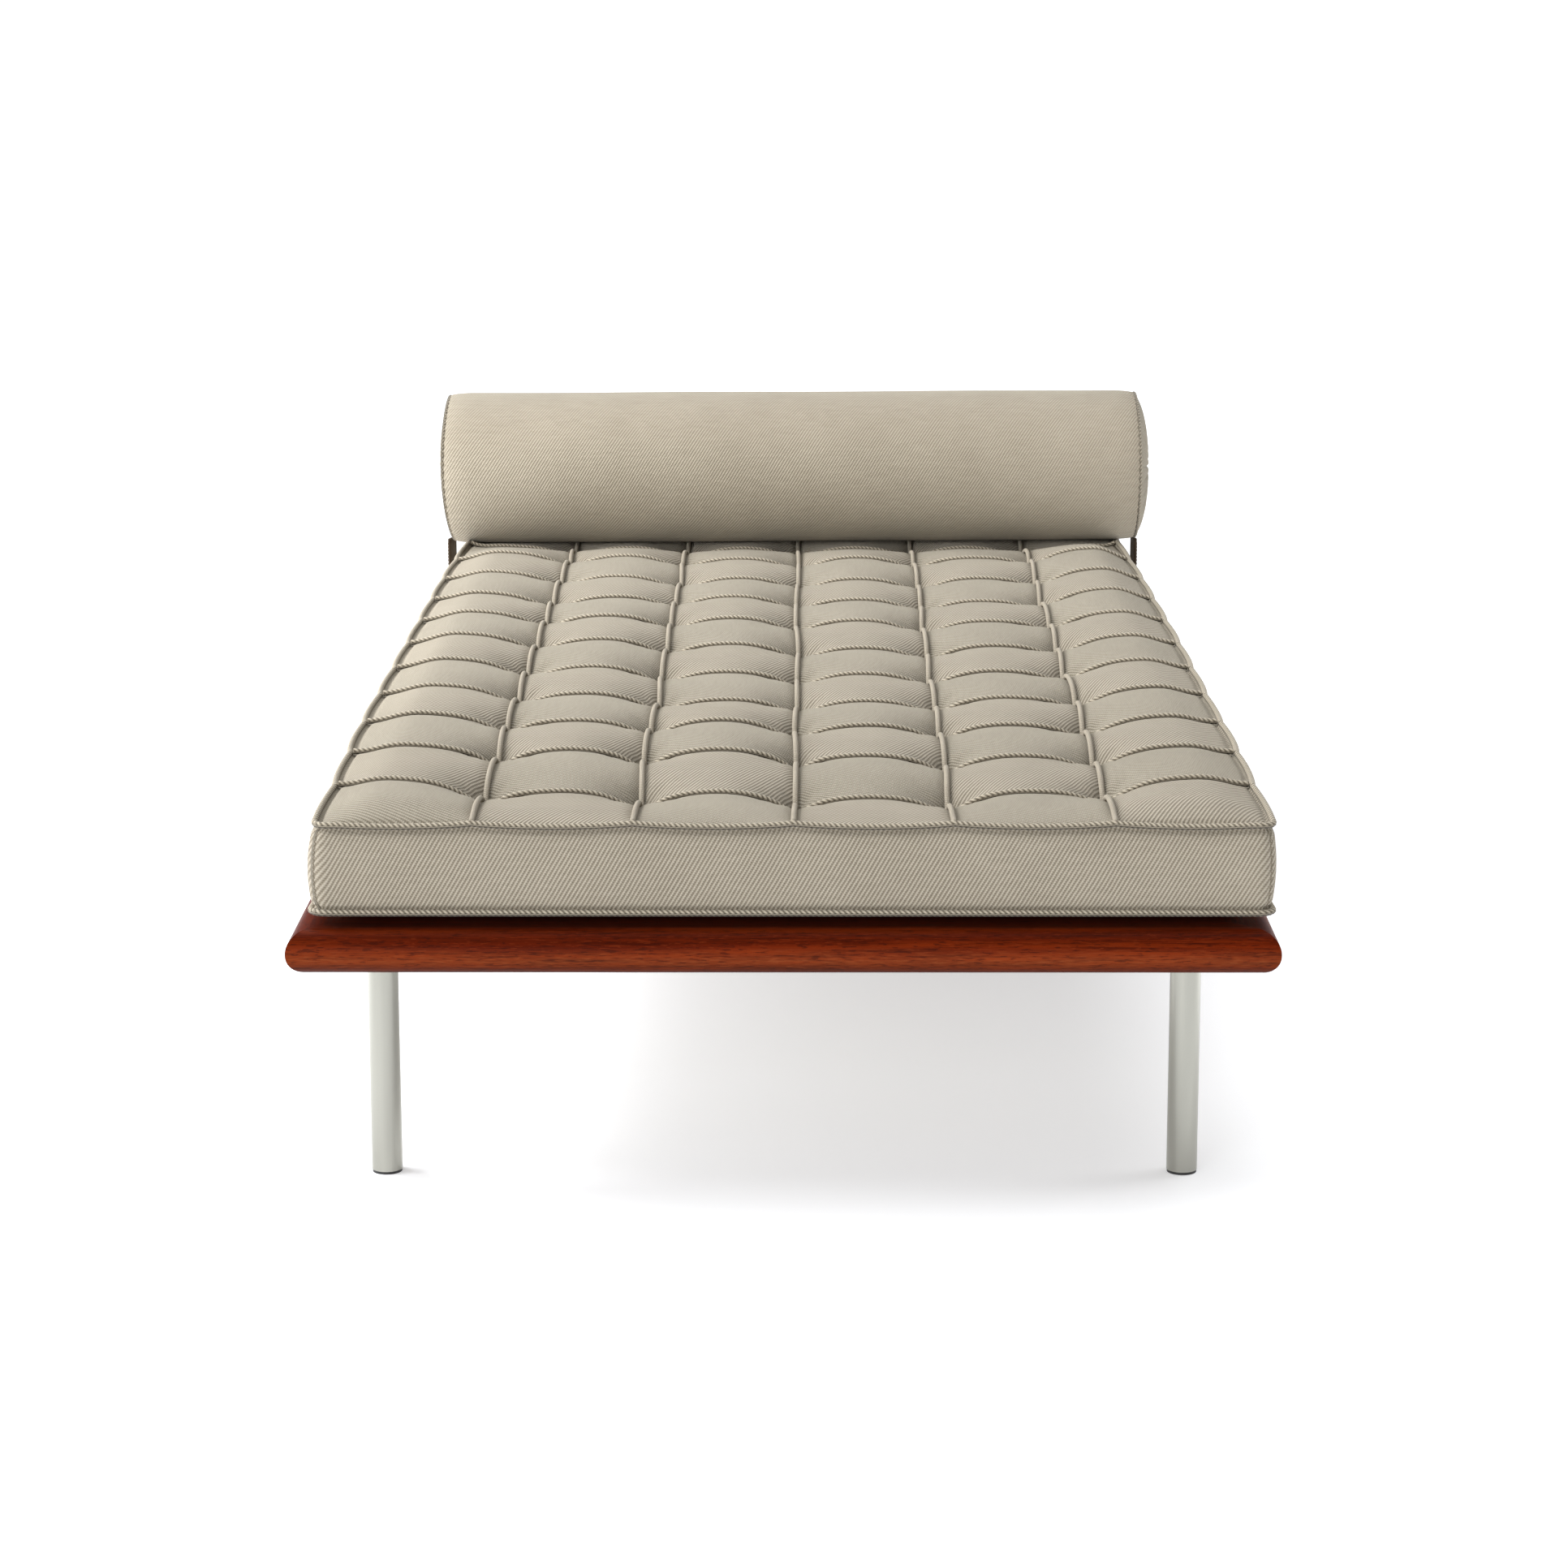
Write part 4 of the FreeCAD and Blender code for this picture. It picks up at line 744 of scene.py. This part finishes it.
def axis_lines(pitch, count, half):
    """Grid lines across the top: dense at each seam, sparse between."""
    lines = []
    t = np.linspace(0, 1, CELLS, endpoint=False)
    eased = t - 0.62 * np.sin(TAU * t) / TAU
    for k in range(count):
        lines.extend((k + eased) * pitch - pitch * count / 2)
    lines.append(pitch * count / 2)
    lines = np.array(lines)
    inner = pitch * (count / 2 - 1)
    out = np.abs(lines) - inner
    squeeze = (half - inner) / pitch
    stretched = np.sign(lines) * (inner + np.clip(out, 0, None) * squeeze)
    return np.where(np.abs(lines) > inner, stretched, lines)


def round_corners(x, y, half_x, half_y, radius):
    """Pull the corners of a rectangle's plan grid onto rounded ones."""
    px, py = x.copy(), y.copy()
    ax, ay = np.abs(x), np.abs(y)
    cx, cy = half_x - radius, half_y - radius
    corner = (ax > cx) & (ay > cy)
    u = (ax[corner] - cx) / radius
    v = (ay[corner] - cy) / radius
    px[corner] = np.sign(x[corner]) * (cx + radius * u * np.sqrt(1 - v * v / 2))
    py[corner] = np.sign(y[corner]) * (cy + radius * v * np.sqrt(1 - u * u / 2))
    return px, py


def settle(x, y, waves=1.0):
    """Plan positions as sewn: through the uneven pits and out to the pulled-in edges."""
    wx, wy = warp_plan(x, y)
    side_in, end_in = edge_in(x, y, waves)
    near_side = nearness(HALF_X - np.abs(x), EDGE_SOFT) ** 2
    near_end = nearness(HALF_Y - np.abs(y), EDGE_SOFT) ** 2
    drawn = np.interp(y, DRAWN_AT, DRAWN_IN) * nearness(HALF_X - x, DRAWN_REACH) ** 1.5
    return wx - np.sign(x) * side_in * near_side - drawn, wy - np.sign(y) * end_in * near_end


def end_rise(x):
    """How far the welt along an end stands above its own height, most at each seam's end."""
    rise = 0.0034 * (1 - scallop(x, PITCH_X, COLUMNS, 1.0)) - 0.0012
    return rise * smoothstep((HALF_X - np.abs(x)) / EDGE_SOFT)


def side_rise(y):
    """The same along a side."""
    rise = 0.0028 * (1 - scallop(y, PITCH_Y, ROWS, 1.0)) - 0.001 + SIDE_RISE
    return rise * smoothstep((HALF_Y - np.abs(y)) / EDGE_SOFT)


lines_x = axis_lines(PITCH_X, COLUMNS, HALF_X)
lines_y = axis_lines(PITCH_Y, ROWS, HALF_Y)
NX, NY = len(lines_x), len(lines_y)
grid_x, grid_y = np.meshgrid(lines_x, lines_y)
grid_index = np.arange(NX * NY).reshape(NY, NX)
warped_x, warped_y = warp_plan(grid_x, grid_y)
shape_z = top_height(grid_x, grid_y) - pits(warped_x, warped_y)
rounding = np.array(round_corners(grid_x, grid_y, HALF_X, HALF_Y, CORNER)) - (grid_x, grid_y)
plan_x, plan_y = settle(grid_x, grid_y) + rounding
low_x, low_y = settle(grid_x, grid_y, waves=0.0) + rounding

# The top grid's rim, once round, anticlockwise from its lowest corner.
rim = np.concatenate([grid_index[0, :-1], grid_index[:-1, -1], grid_index[-1, :0:-1], grid_index[:0:-1, 0]])
rim_gx, rim_gy = grid_x.ravel()[rim], grid_y.ravel()[rim]
rim_x, rim_y = plan_x.ravel()[rim], plan_y.ravel()[rim]
foot_x, foot_y = low_x.ravel()[rim], low_y.ravel()[rim]
on_side = np.abs(np.abs(rim_gx) - HALF_X) < 1e-6
on_end = np.abs(np.abs(rim_gy) - HALF_Y) < 1e-6
rim_rise = np.where(on_end, end_rise(rim_gx), side_rise(rim_gy))
rim_rise = np.where(on_end & on_side, 0.0, rim_rise)
rim_z = press(rim_x, rim_y, TOP_WELT_Z + rim_rise + 0.0006, WELT_CLEARANCE)
shape_z.ravel()[rim] = rim_z

# Ease the rows just inside the rim onto it, and crease them along the welt.
gap_x, gap_y = HALF_X - np.abs(grid_x), HALF_Y - np.abs(grid_y)
ease = end_rise(grid_x) * nearness(gap_y, RIM_SOFT) ** 2 + side_rise(grid_y) * nearness(gap_x, RIM_SOFT) ** 2
rim_crease = 0.0034 * np.exp(-((np.minimum(gap_x, gap_y) - 0.0042) / 0.0026) ** 2)
eased_z = press(grid_x, grid_y, shape_z + ease - rim_crease)
shape_z[1:-1, 1:-1] = eased_z[1:-1, 1:-1]


def outward(px, py):
    """Unit outward directions along a closed plan loop."""
    tx = np.roll(px, -1) - np.roll(px, 1)
    ty = np.roll(py, -1) - np.roll(py, 1)
    length = np.hypot(tx, ty)
    return ty / length, -tx / length


def square_cloth():
    """The top's squares are cut with the cloth turned a quarter, every second one, and the two sets are
    painted in two shades, as the nap's sheen falls differently on each.
    """
    index = grid_index
    corners = np.stack([index[:-1, :-1], index[:-1, 1:], index[1:, 1:], index[1:, :-1]], -1).reshape(-1, 4)
    x, y = grid_x.ravel()[corners], grid_y.ravel()[corners]
    column = np.floor(x.mean(1) / PITCH_X + COLUMNS / 2).astype(int)
    row = np.floor(y.mean(1) / PITCH_Y + ROWS / 2).astype(int)
    odd = (column + row) % 2 == 1
    uv = np.where(odd[:, None, None], np.stack([x, y], -1), np.stack([y, -x], -1)).reshape(-1, 2)
    return uv, np.where(odd, 0.3, 1.05)


box_rings = []


def build_upholstery():
    """The whole cover as one closed skin: top, boxing band and underside."""
    skin = Shape()
    skin.add(np.stack([plan_x.ravel(), plan_y.ravel(), shape_z.ravel()], 1), grid_faces(NY, NX),
             np.stack([grid_x.ravel(), grid_y.ravel()], 1))
    out_x, out_y = outward(rim_x, rim_y)
    steps = np.hypot(np.diff(rim_x, append=rim_x[0]), np.diff(rim_y, append=rim_y[0]))
    run = np.concatenate([[0], np.cumsum(steps)[:-1]])
    corner_gap = np.hypot(HALF_X - np.abs(rim_gx), HALF_Y - np.abs(rim_gy))
    fullness = 0.0052 - 0.0004 * smoothstep(corner_gap / 0.11)
    corner_run = np.where(on_end, HALF_X - np.abs(rim_gx), 1.0)
    corner_groove = 0.0012 * np.exp(-(corner_run / 0.0018) ** 2)
    wave = 0.0006 * np.sin(run * TAU / 0.31 + 1.2) + 0.0004 * np.sin(run * TAU / 0.127)
    left = LEFT_BULGE * np.clip(-out_x, 0, 1)
    ring = rim
    for level in BOX_LEVELS:
        half_way = math.sin(math.pi * level)
        tuck = 0.0034 * sum(math.exp(-((level - seam) / 0.024) ** 2) for seam in (0.05, 0.95))
        push = fullness * half_way ** 0.62 - tuck + wave * half_way - corner_groove
        push = push + left * math.sin(0.8 * math.pi * level) ** 0.6
        straight = smoothstep(level / 0.75)
        points = np.stack([rim_x + (foot_x - rim_x) * straight + out_x * push,
                           rim_y + (foot_y - rim_y) * straight + out_y * push,
                           rim_z * (1 - level) + LOW_WELT_Z * level], 1)
        box_rings.append(points)
        ring = skin.grow(ring, points, np.stack([run, points[:, 2]], 1))
    # The underside curls in from the lower welt to where it rests on the webbing.
    for inset, share in UNDER_CURL:
        points = np.stack([(foot_x + out_x * 0.7 * left) * (HALF_X - inset) / HALF_X,
                           (foot_y + out_y * 0.7 * left) * (HALF_Y - inset) / HALF_Y,
                           np.full(len(rim), BASE_Z + (LOW_WELT_Z - BASE_Z) * share)], 1)
        ring = skin.grow(ring, points, points[:, :2])
    for shrink in (0.8, 0.4):
        points = np.stack([foot_x * shrink, foot_y * shrink, np.full(len(rim), BASE_Z)], 1)
        ring = skin.grow(ring, points, points[:, :2])
    skin.close(ring, (0, 0, BASE_Z))
    verts = np.vstack(skin.verts)
    verts[:, 0] += MID_X
    # Painted shade for the button pits, one share per vertex of the top.
    pit_shades = painted_pit_shade(warped_x, warped_y).ravel()
    return add_mesh("mattress_upholstery", verts, skin.faces, np.vstack(skin.uvs), cloth,
                    *square_cloth(), pit_shades)


upholstery = build_upholstery()
hand_over(upholstery, "mattress", "mattress_foam_core", "mattress_top_cover",
          "mattress_boxing", "mattress_bottom_cover")


def surface_z(x, y):
    """Height of the finished top near the seams, and the settled plan positions (ideal ones in)."""
    height = top_height(x, y, grooves=False) - pits(*warp_plan(x, y))
    return press(x, y, height, WELT_CLEARANCE), *settle(x, y)


ZIGZAGS = 21
ROPE_SIDES = 12
ROPE_STEP = 0.0016


def seam_line(axis, fixed, low, high):
    """The line a grid welt follows, lying on the top along one seam."""
    count = int((high - low) / ROPE_STEP) + 2
    along = np.linspace(low, high, count)
    across = np.full(count, fixed)
    x, y = (along, across) if axis == "X" else (across, along)
    z, wx, wy = surface_z(x, y)
    half, rise = (HALF_X, SIDE_RISE) if axis == "X" else (HALF_Y, 0.0)
    ease = nearness(half - np.abs(along), RIM_SOFT) ** 2
    return np.stack([wx + MID_X, wy, z + (0.0035 + rise) * ease], 1)


across_welts = Shape()
for fixed in SEAM_Y[1:-1]:
    path = seam_line("X", fixed, -HALF_X + 0.002, HALF_X - 0.002)
    path[:, 2] += 0.0004
    across_welts.add(*tube(path, WELT_R, ROPE_SIDES, twist=0.1))
across = across_welts.build("transverse_piping", rope_cloth)
hand_over(across, "mattress", "transverse_welts")

# Each lengthwise run stops short of the seams it lies between and dips under their ropes.
along_welts = Shape()
for fixed in SEAM_X[1:-1]:
    for row in range(ROWS):
        first, last = row == 0, row == ROWS - 1
        path = seam_line("Y", fixed, SEAM_Y[row] + (0.0025 if first else 0.002),
                         SEAM_Y[row + 1] - (0.0025 if last else 0.002))
        position = np.linspace(0, 1, len(path))
        dip = (not first) * np.exp(-position / 0.05) + (not last) * np.exp(-(1 - position) / 0.05)
        path[:, 2] += 0.0011 - 0.0022 * dip
        along_welts.add(*tube(path, CORD_R, ROPE_SIDES))
lengthwise = along_welts.build("lengthwise_piping", cord_cloth)
hand_over(lengthwise, "mattress", "lengthwise_welts")


def edge_rope(name, node, px, py, heights, outset):
    """A rope welt round the mattress's edge, along a closed plan loop."""
    out_x, out_y = outward(px, py)
    loop = np.stack([px + out_x * outset, py + out_y * outset, heights], 1)
    closed = np.vstack([loop, loop[:1]])
    total = np.linalg.norm(np.diff(closed, axis=0), axis=1).sum()
    line = resample(closed, int(total / ROPE_STEP))[:-1]
    line[:, 0] += MID_X
    rope = add_mesh(name, *tube(line, ROPE_R, ROPE_SIDES, closed=True, twist=0.1), rope_cloth)
    hand_over(rope, "mattress", node)


edge_rope("top_edge_piping", "mattress_top_welt", rim_x, rim_y, rim_z + 0.0002, 0.0016)
low_outset = 0.0034 + 0.7 * LEFT_BULGE * np.clip(-outward(foot_x, foot_y)[0], 0, 1)
edge_rope("bottom_edge_piping", "mattress_bottom_welt", foot_x, foot_y, np.full(len(rim), LOW_WELT_Z),
          low_outset)


def build_corner_stitches():
    """A zigzag seam up the boxing at each corner."""
    rings = np.array(box_rings)
    gather = Shape()
    for spot in np.flatnonzero(on_end & on_side):
        column = resample(rings[:, spot], 2 * ZIGZAGS + 1)
        column[:, 0] += 0.0009 * np.where(np.arange(len(column)) % 2, 1, -1) + MID_X
        column[:, 1] += 0.0012 * np.sign(rim_gy[spot])
        gather.add(*tube(resample(column, 4 * len(column)), 0.0004, 6, up=(0, 1, 0)))
    hand_over(gather.build("corner_stitches", stitch), "mattress")


build_corner_stitches()


def build_buttons():
    """Covered tufting buttons at the bottom of the pits, each a low dome."""
    gather = Shape()
    around, out, faces = dome(0.0105, 0.0034, 9, 24)
    floor_z = surface_z(ideal_x, ideal_y)[0]
    for spot in np.ndindex(pit_x.shape):
        foot = (pit_x[spot] + MID_X, pit_y[spot], floor_z[spot] + 0.0006)
        gather.add(np.column_stack([around, out]) + foot, faces, around)
    buttons = gather.build("tufting_button_covers", cloth)
    hand_over(buttons, "mattress", "tufting_buttons")


build_buttons()

# ------------ bolster

welt_low, welt_high = span("bolster_welt_right")
WELT_X = (welt_low[0] + welt_high[0]) / 2
DOMES = {-1: 0.0065, 1: 0.0165}
BUTTON_DIP = 0.006
SHIFT_X = 0.0027
PLEATS = 27
# The rings of a pleated end, as shares of the bolster's radius.
DOME_RINGS = (0.985, 0.96, 0.93, 0.89, 0.84, 0.78, 0.7, 0.62, 0.53, 0.44, 0.35, 0.27, 0.2, 0.14, 0.09)
# How each soft end leans outward with height: at mid-height, per half height, and per its square.
LEANS = {-1: (0.0035, 0.0031, -0.0066), 1: (-0.0026, -0.0009, -0.001)}


def tip_bolster(points):
    """Set points of the true cylinder a little out of level, as the bolster lies."""
    points = points.copy()
    height = (points[:, 2] - AXIS_Z) / BOLSTER_R
    near = smoothstep((np.abs(points[:, 0]) - WELT_X + 0.09) / 0.09)
    for sign, (middle, slope, curve) in LEANS.items():
        mine = np.sign(points[:, 0]) == sign
        lean = middle + slope * height + curve * height ** 2
        points[mine, 0] += sign * (lean * near)[mine]
    points[:, 2] += points[:, 0] * math.sin(TILT) - SAG
    points[:, 0] += SHIFT_X
    return points


def bolster_ring(x, radius, angle):
    """Points round the bolster's axis at one x, or at one for each point."""
    return np.column_stack([np.broadcast_to(x, angle.shape), AXIS_Y + radius * np.cos(angle),
                            AXIS_Z + radius * np.sin(angle)])


def bolster_profile():
    """The x and radius of the bolster's rings, from its middle to its end seam."""
    share = 1 - np.linspace(1, 0, 46) ** 1.6
    xs = WELT_X * share
    end = nearness(WELT_X - xs, 0.035)
    return xs, BODY_R - 0.0028 * end ** 2 - 0.0012 * np.exp(-(WELT_X - xs) / 0.004)


def build_bolster():
    """One closed skin: the round body and its two pleated ends."""
    sides = 336
    xs, rs = bolster_profile()
    angle = np.linspace(0, TAU, sides, endpoint=False)
    pleat = np.abs(np.sin(PLEATS * angle / 2)) ** 0.6
    pucker_turn, broad_turn = rng.uniform(0, TAU, 2)
    seam = 0.0016 * np.exp(-((angle - 5.45) / 0.012) ** 2)

    def body_ring(x, radius):
        near_end = math.exp(-(WELT_X - abs(x)) / 0.013)
        pucker = 0.0007 * near_end * np.cos(2 * PLEATS * angle + 0.8 * np.sin(3 * angle + pucker_turn))
        broad = 0.0006 * np.sin(2 * angle + 9 * x + broad_turn) * math.cos(7 * x)
        return bolster_ring(x, radius + pucker + broad - seam, angle)

    full_x = np.concatenate([-xs[::-1], xs[1:]])
    full_r = np.concatenate([rs[::-1], rs[1:]])
    body = np.vstack([body_ring(x, radius) for x, radius in zip(full_x, full_r)])
    body_uvs = np.stack([body[:, 0], np.tile(-angle * BOLSTER_R, len(full_x))], 1)
    skin = Shape()
    skin.add(body, grid_faces(len(full_x), sides, wrap=True), body_uvs)
    for sign in (-1, 1):
        ring = np.arange(sides) + (0 if sign < 0 else (len(full_x) - 1) * sides)
        for rho in DOME_RINGS:
            bulge = DOMES[sign] * (1 - rho ** 2.6) ** 0.75 - BUTTON_DIP * math.exp(-(rho / 0.16) ** 2)
            envelope = math.sin(math.pi * ((rho - 0.05) / 0.95) ** 0.9) ** 0.6
            ridge = 0.0042 * envelope * (pleat - 0.62) * min(1.0, rho * 2.2)
            x = sign * (WELT_X + 0.0002 + np.maximum(bulge + ridge, -0.002))
            radial = BOLSTER_R * rho * 0.992
            points = bolster_ring(x, radial, angle + 0.05 * (1 - rho))
            ring = skin.grow(ring, points, radial * np.stack([np.cos(angle), np.sin(angle)], 1))
        skin.close(ring, (sign * (WELT_X + DOMES[sign] - BUTTON_DIP), AXIS_Y, AXIS_Z))
    return add_mesh("bolster_upholstery", tip_bolster(np.vstack(skin.verts)), skin.faces,
                    np.vstack(skin.uvs), bolster_cloth)


bolster = build_bolster()
hand_over(bolster, "bolster", "bolster_foam_core", "bolster_cover",
          "bolster_end_left", "bolster_end_right")

PIPING_R = BOLSTER_R - 0.0003
END_BUTTON_R, END_BUTTON_HEIGHT = 0.0155, 0.0052
for side, sign in (("left", -1), ("right", 1)):
    angle = np.linspace(0, TAU, int(TAU * BOLSTER_R / ROPE_STEP), endpoint=False)
    loop = tip_bolster(bolster_ring(sign * WELT_X, PIPING_R, angle))
    cord = tube(loop, 0.0023, ROPE_SIDES, closed=True, twist=0.09, up=(1, 0, 0))
    rope = add_mesh(f"bolster_piping_{side}", *cord, rope_cloth)
    hand_over(rope, "bolster", f"bolster_welt_{side}")

    around, out, faces = dome(END_BUTTON_R, END_BUTTON_HEIGHT, 10, 32)
    points = np.column_stack([sign * (WELT_X + DOMES[sign] - END_BUTTON_HEIGHT + out),
                              around + (AXIS_Y, AXIS_Z)])
    button = add_mesh(f"bolster_button_cover_{side}", tip_bolster(points), faces, around, bolster_cloth)
    hand_over(button, "bolster", f"bolster_button_{side}")

# ------------ straps


# Each strap turns its front edge outward above its snap: how far round, and how far in it hangs.
STRAP_TURNS = {"left": (math.radians(14), 0.0063), "right": (math.radians(9), 0.0037)}
# One stitch: how far out of the leather each of its points stands, and how far down it lies.
STITCH_POINTS = ((-0.0004, 0.0), (0.0002, 0.0008), (0.0003, 0.0018), (0.0002, 0.0028), (-0.0004, 0.0036))
STITCH_PITCH = 0.0048


def hang_strap(points, side, sign, mid_y, face):
    """Turn a strap's straight points about its own middle line above the snap."""
    turn, inset = STRAP_TURNS[side]
    points = np.asarray(points, float).copy()
    amount = smoothstep((points[:, 2] - 0.3) / 0.06)
    dx, dy = points[:, 0] - face, points[:, 1] - mid_y
    angle = -sign * turn * amount
    points[:, 0] = face - sign * inset * amount + dx * np.cos(angle) + dy * np.sin(angle)
    points[:, 1] = mid_y - dx * np.sin(angle) + dy * np.cos(angle)
    return points


def build_strap(side, sign):
    """A leather strap with rolled edges, lying against the mattress and rounded at its foot."""
    low, high = span(f"bolster_strap_{side}")
    mid_y = (low[1] + high[1]) / 2
    half = (high[1] - low[1]) / 2 - 0.0004
    thick = (high[0] - low[0]) / 2 - 0.0002
    face = (low[0] + high[0]) / 2
    steps, section = 60, 28
    turn = np.linspace(0, TAU, section, endpoint=False)
    cos, sin = np.cos(turn), np.sin(turn)
    verts, uvs = [], []
    for share in np.linspace(0, 1, steps + 1):
        z = high[2] - 0.0004 - share * (high[2] - low[2] - 0.0008)
        foot = min(1.0, (z - low[2]) / half)
        width = half * math.sqrt(max(0.02, 1 - (1 - foot) ** 2))
        y = mid_y + width * np.sign(cos) * np.abs(cos) ** 0.35
        x = face + thick * np.sign(sin) * np.abs(sin) ** 0.8
        verts.append(np.stack([x, y, np.full(section, z)], 1))
        uvs.append(np.stack([y, np.full(section, z)], 1))
    verts = hang_strap(np.vstack(verts), side, sign, mid_y, face)
    strap = add_mesh(f"bolster_strap_leather_{side}", verts, capped_faces(steps + 1, section),
                     np.vstack(uvs), leather)
    hand_over(strap, f"strap_{side}", f"bolster_strap_{side}", slot="strap_leather")

    gather = Shape()
    outer = face + sign * (thick + 0.0001)
    for edge in (-1, 1):
        y = mid_y + edge * (half - 0.0035)
        z = high[2] - 0.006
        while z > low[2] + half * 0.55:
            line = [(outer + sign * out, y, z - drop) for out, drop in STITCH_POINTS]
            gather.add(*tube(hang_strap(line, side, sign, mid_y, face), 0.00035, 6, up=(0, 1, 0)))
            z -= STITCH_PITCH
    stitches = gather.build(f"strap_stitches_{side}", strap_stitch)
    hand_over(stitches, f"strap_{side}", slot="strap_leather")


build_strap("left", -1)
build_strap("right", 1)

# ------------ floor, light and camera

# The white surroundings' strength as light, and as the camera sees them; the floor's own glow.
AMBIENT, BACKDROP, FLOOR_GLOW = 0.27, 1.1, 0.42
FLOOR_HALF = 14
# Each sun: where it shines from, its strength and its width in degrees.
SUNS = (("key", (-1.3, -0.25, 1.25), 1.42, 22),
        ("overhead", (0.0, 0.5, 1.0), 1.68, 60),
        ("front", (-0.48, -1.0, 0.18), 1.45, 36))
# Each window or fill: its place, its target, its size and its power.
AREAS = (("side_window", (-2.7, -2.2, 1.2), (-0.2, -0.4, 0.4), 1.4, 12),
         ("head_window", (-2.0, 0.1, 1.2), (-0.2, 0.4, 0.4), 1.2, 52),
         ("floor_fill", (1.5, -0.3, 0.4), (0.4, -0.4, 0.0), 0.6, 5.5))


def build_stage():
    """A pale floor, white surroundings and soft studio lights."""
    mesh = bpy.data.meshes.new("studio_floor")
    corners = [(x * FLOOR_HALF, y * FLOOR_HALF, 0) for x, y in ((-1, -1), (1, -1), (1, 1), (-1, 1))]
    mesh.from_pydata(corners, [], [(0, 1, 2, 3)])
    s = Shader("studio_floor_look")
    s.set(Base_Color=(0.84, 0.855, 0.88, 1), Roughness=0.9, Specular_IOR_Level=0.0,
          Emission_Color=(1, 1, 1, 1), Emission_Strength=FLOOR_GLOW)
    mesh.materials.append(s.mat)
    add_object("studio_floor", mesh)

    world = bpy.data.worlds.new("studio")
    bpy.context.scene.world = world
    world.use_nodes = True
    tree = world.node_tree
    background = tree.nodes["Background"]
    backdrop = tree.nodes.new("ShaderNodeBackground")
    for shader, strength in ((background, AMBIENT), (backdrop, BACKDROP)):
        shader.inputs["Color"].default_value = (1, 1, 1, 1)
        shader.inputs["Strength"].default_value = strength
    switch = tree.nodes.new("ShaderNodeMixShader")
    rays = tree.nodes.new("ShaderNodeLightPath")
    tree.links.new(rays.outputs["Is Camera Ray"], switch.inputs[0])
    tree.links.new(background.outputs[0], switch.inputs[1])
    tree.links.new(backdrop.outputs[0], switch.inputs[2])
    tree.links.new(switch.outputs[0], tree.nodes["World Output"].inputs["Surface"])

    def lamp(kind, name, energy, aim):
        """A light that shines along the direction aim."""
        light = bpy.data.lights.new(name, kind)
        light.energy = energy
        holder = add_object(name, light)
        holder.rotation_euler = Vector(aim).to_track_quat("-Z", "Y").to_euler()
        return light, holder

    for name, source, strength, softness in SUNS:
        light, _ = lamp("SUN", name, strength, -Vector(source))
        light.angle = math.radians(softness)
    for name, place, target, size, power in AREAS:
        light, holder = lamp("AREA", name, power, Vector(target) - Vector(place))
        light.size = size
        holder.location = place
    # The fill only lifts the floor under the bed; it leaves no streak on the legs.
    holder.visible_glossy = False


build_stage()

camera_data = bpy.data.cameras.new("camera")
camera_data.sensor_width = 36
camera_data.lens = 89.84
camera = add_object("camera", camera_data)
PITCH_DOWN, YAW, ROLL = math.radians(12.4728), math.radians(0.4107), math.radians(-0.0835)
camera.matrix_world = (Matrix.Translation((0.0283, -4.7452, 1.2767)) @ Matrix.Rotation(YAW, 4, "Z")
                       @ Matrix.Rotation(math.pi / 2 - PITCH_DOWN, 4, "X") @ Matrix.Rotation(ROLL, 4, "Z"))
bpy.context.scene.camera = camera
bpy.context.scene.view_settings.view_transform = "Standard"
bpy.context.scene.view_settings.look = "None"
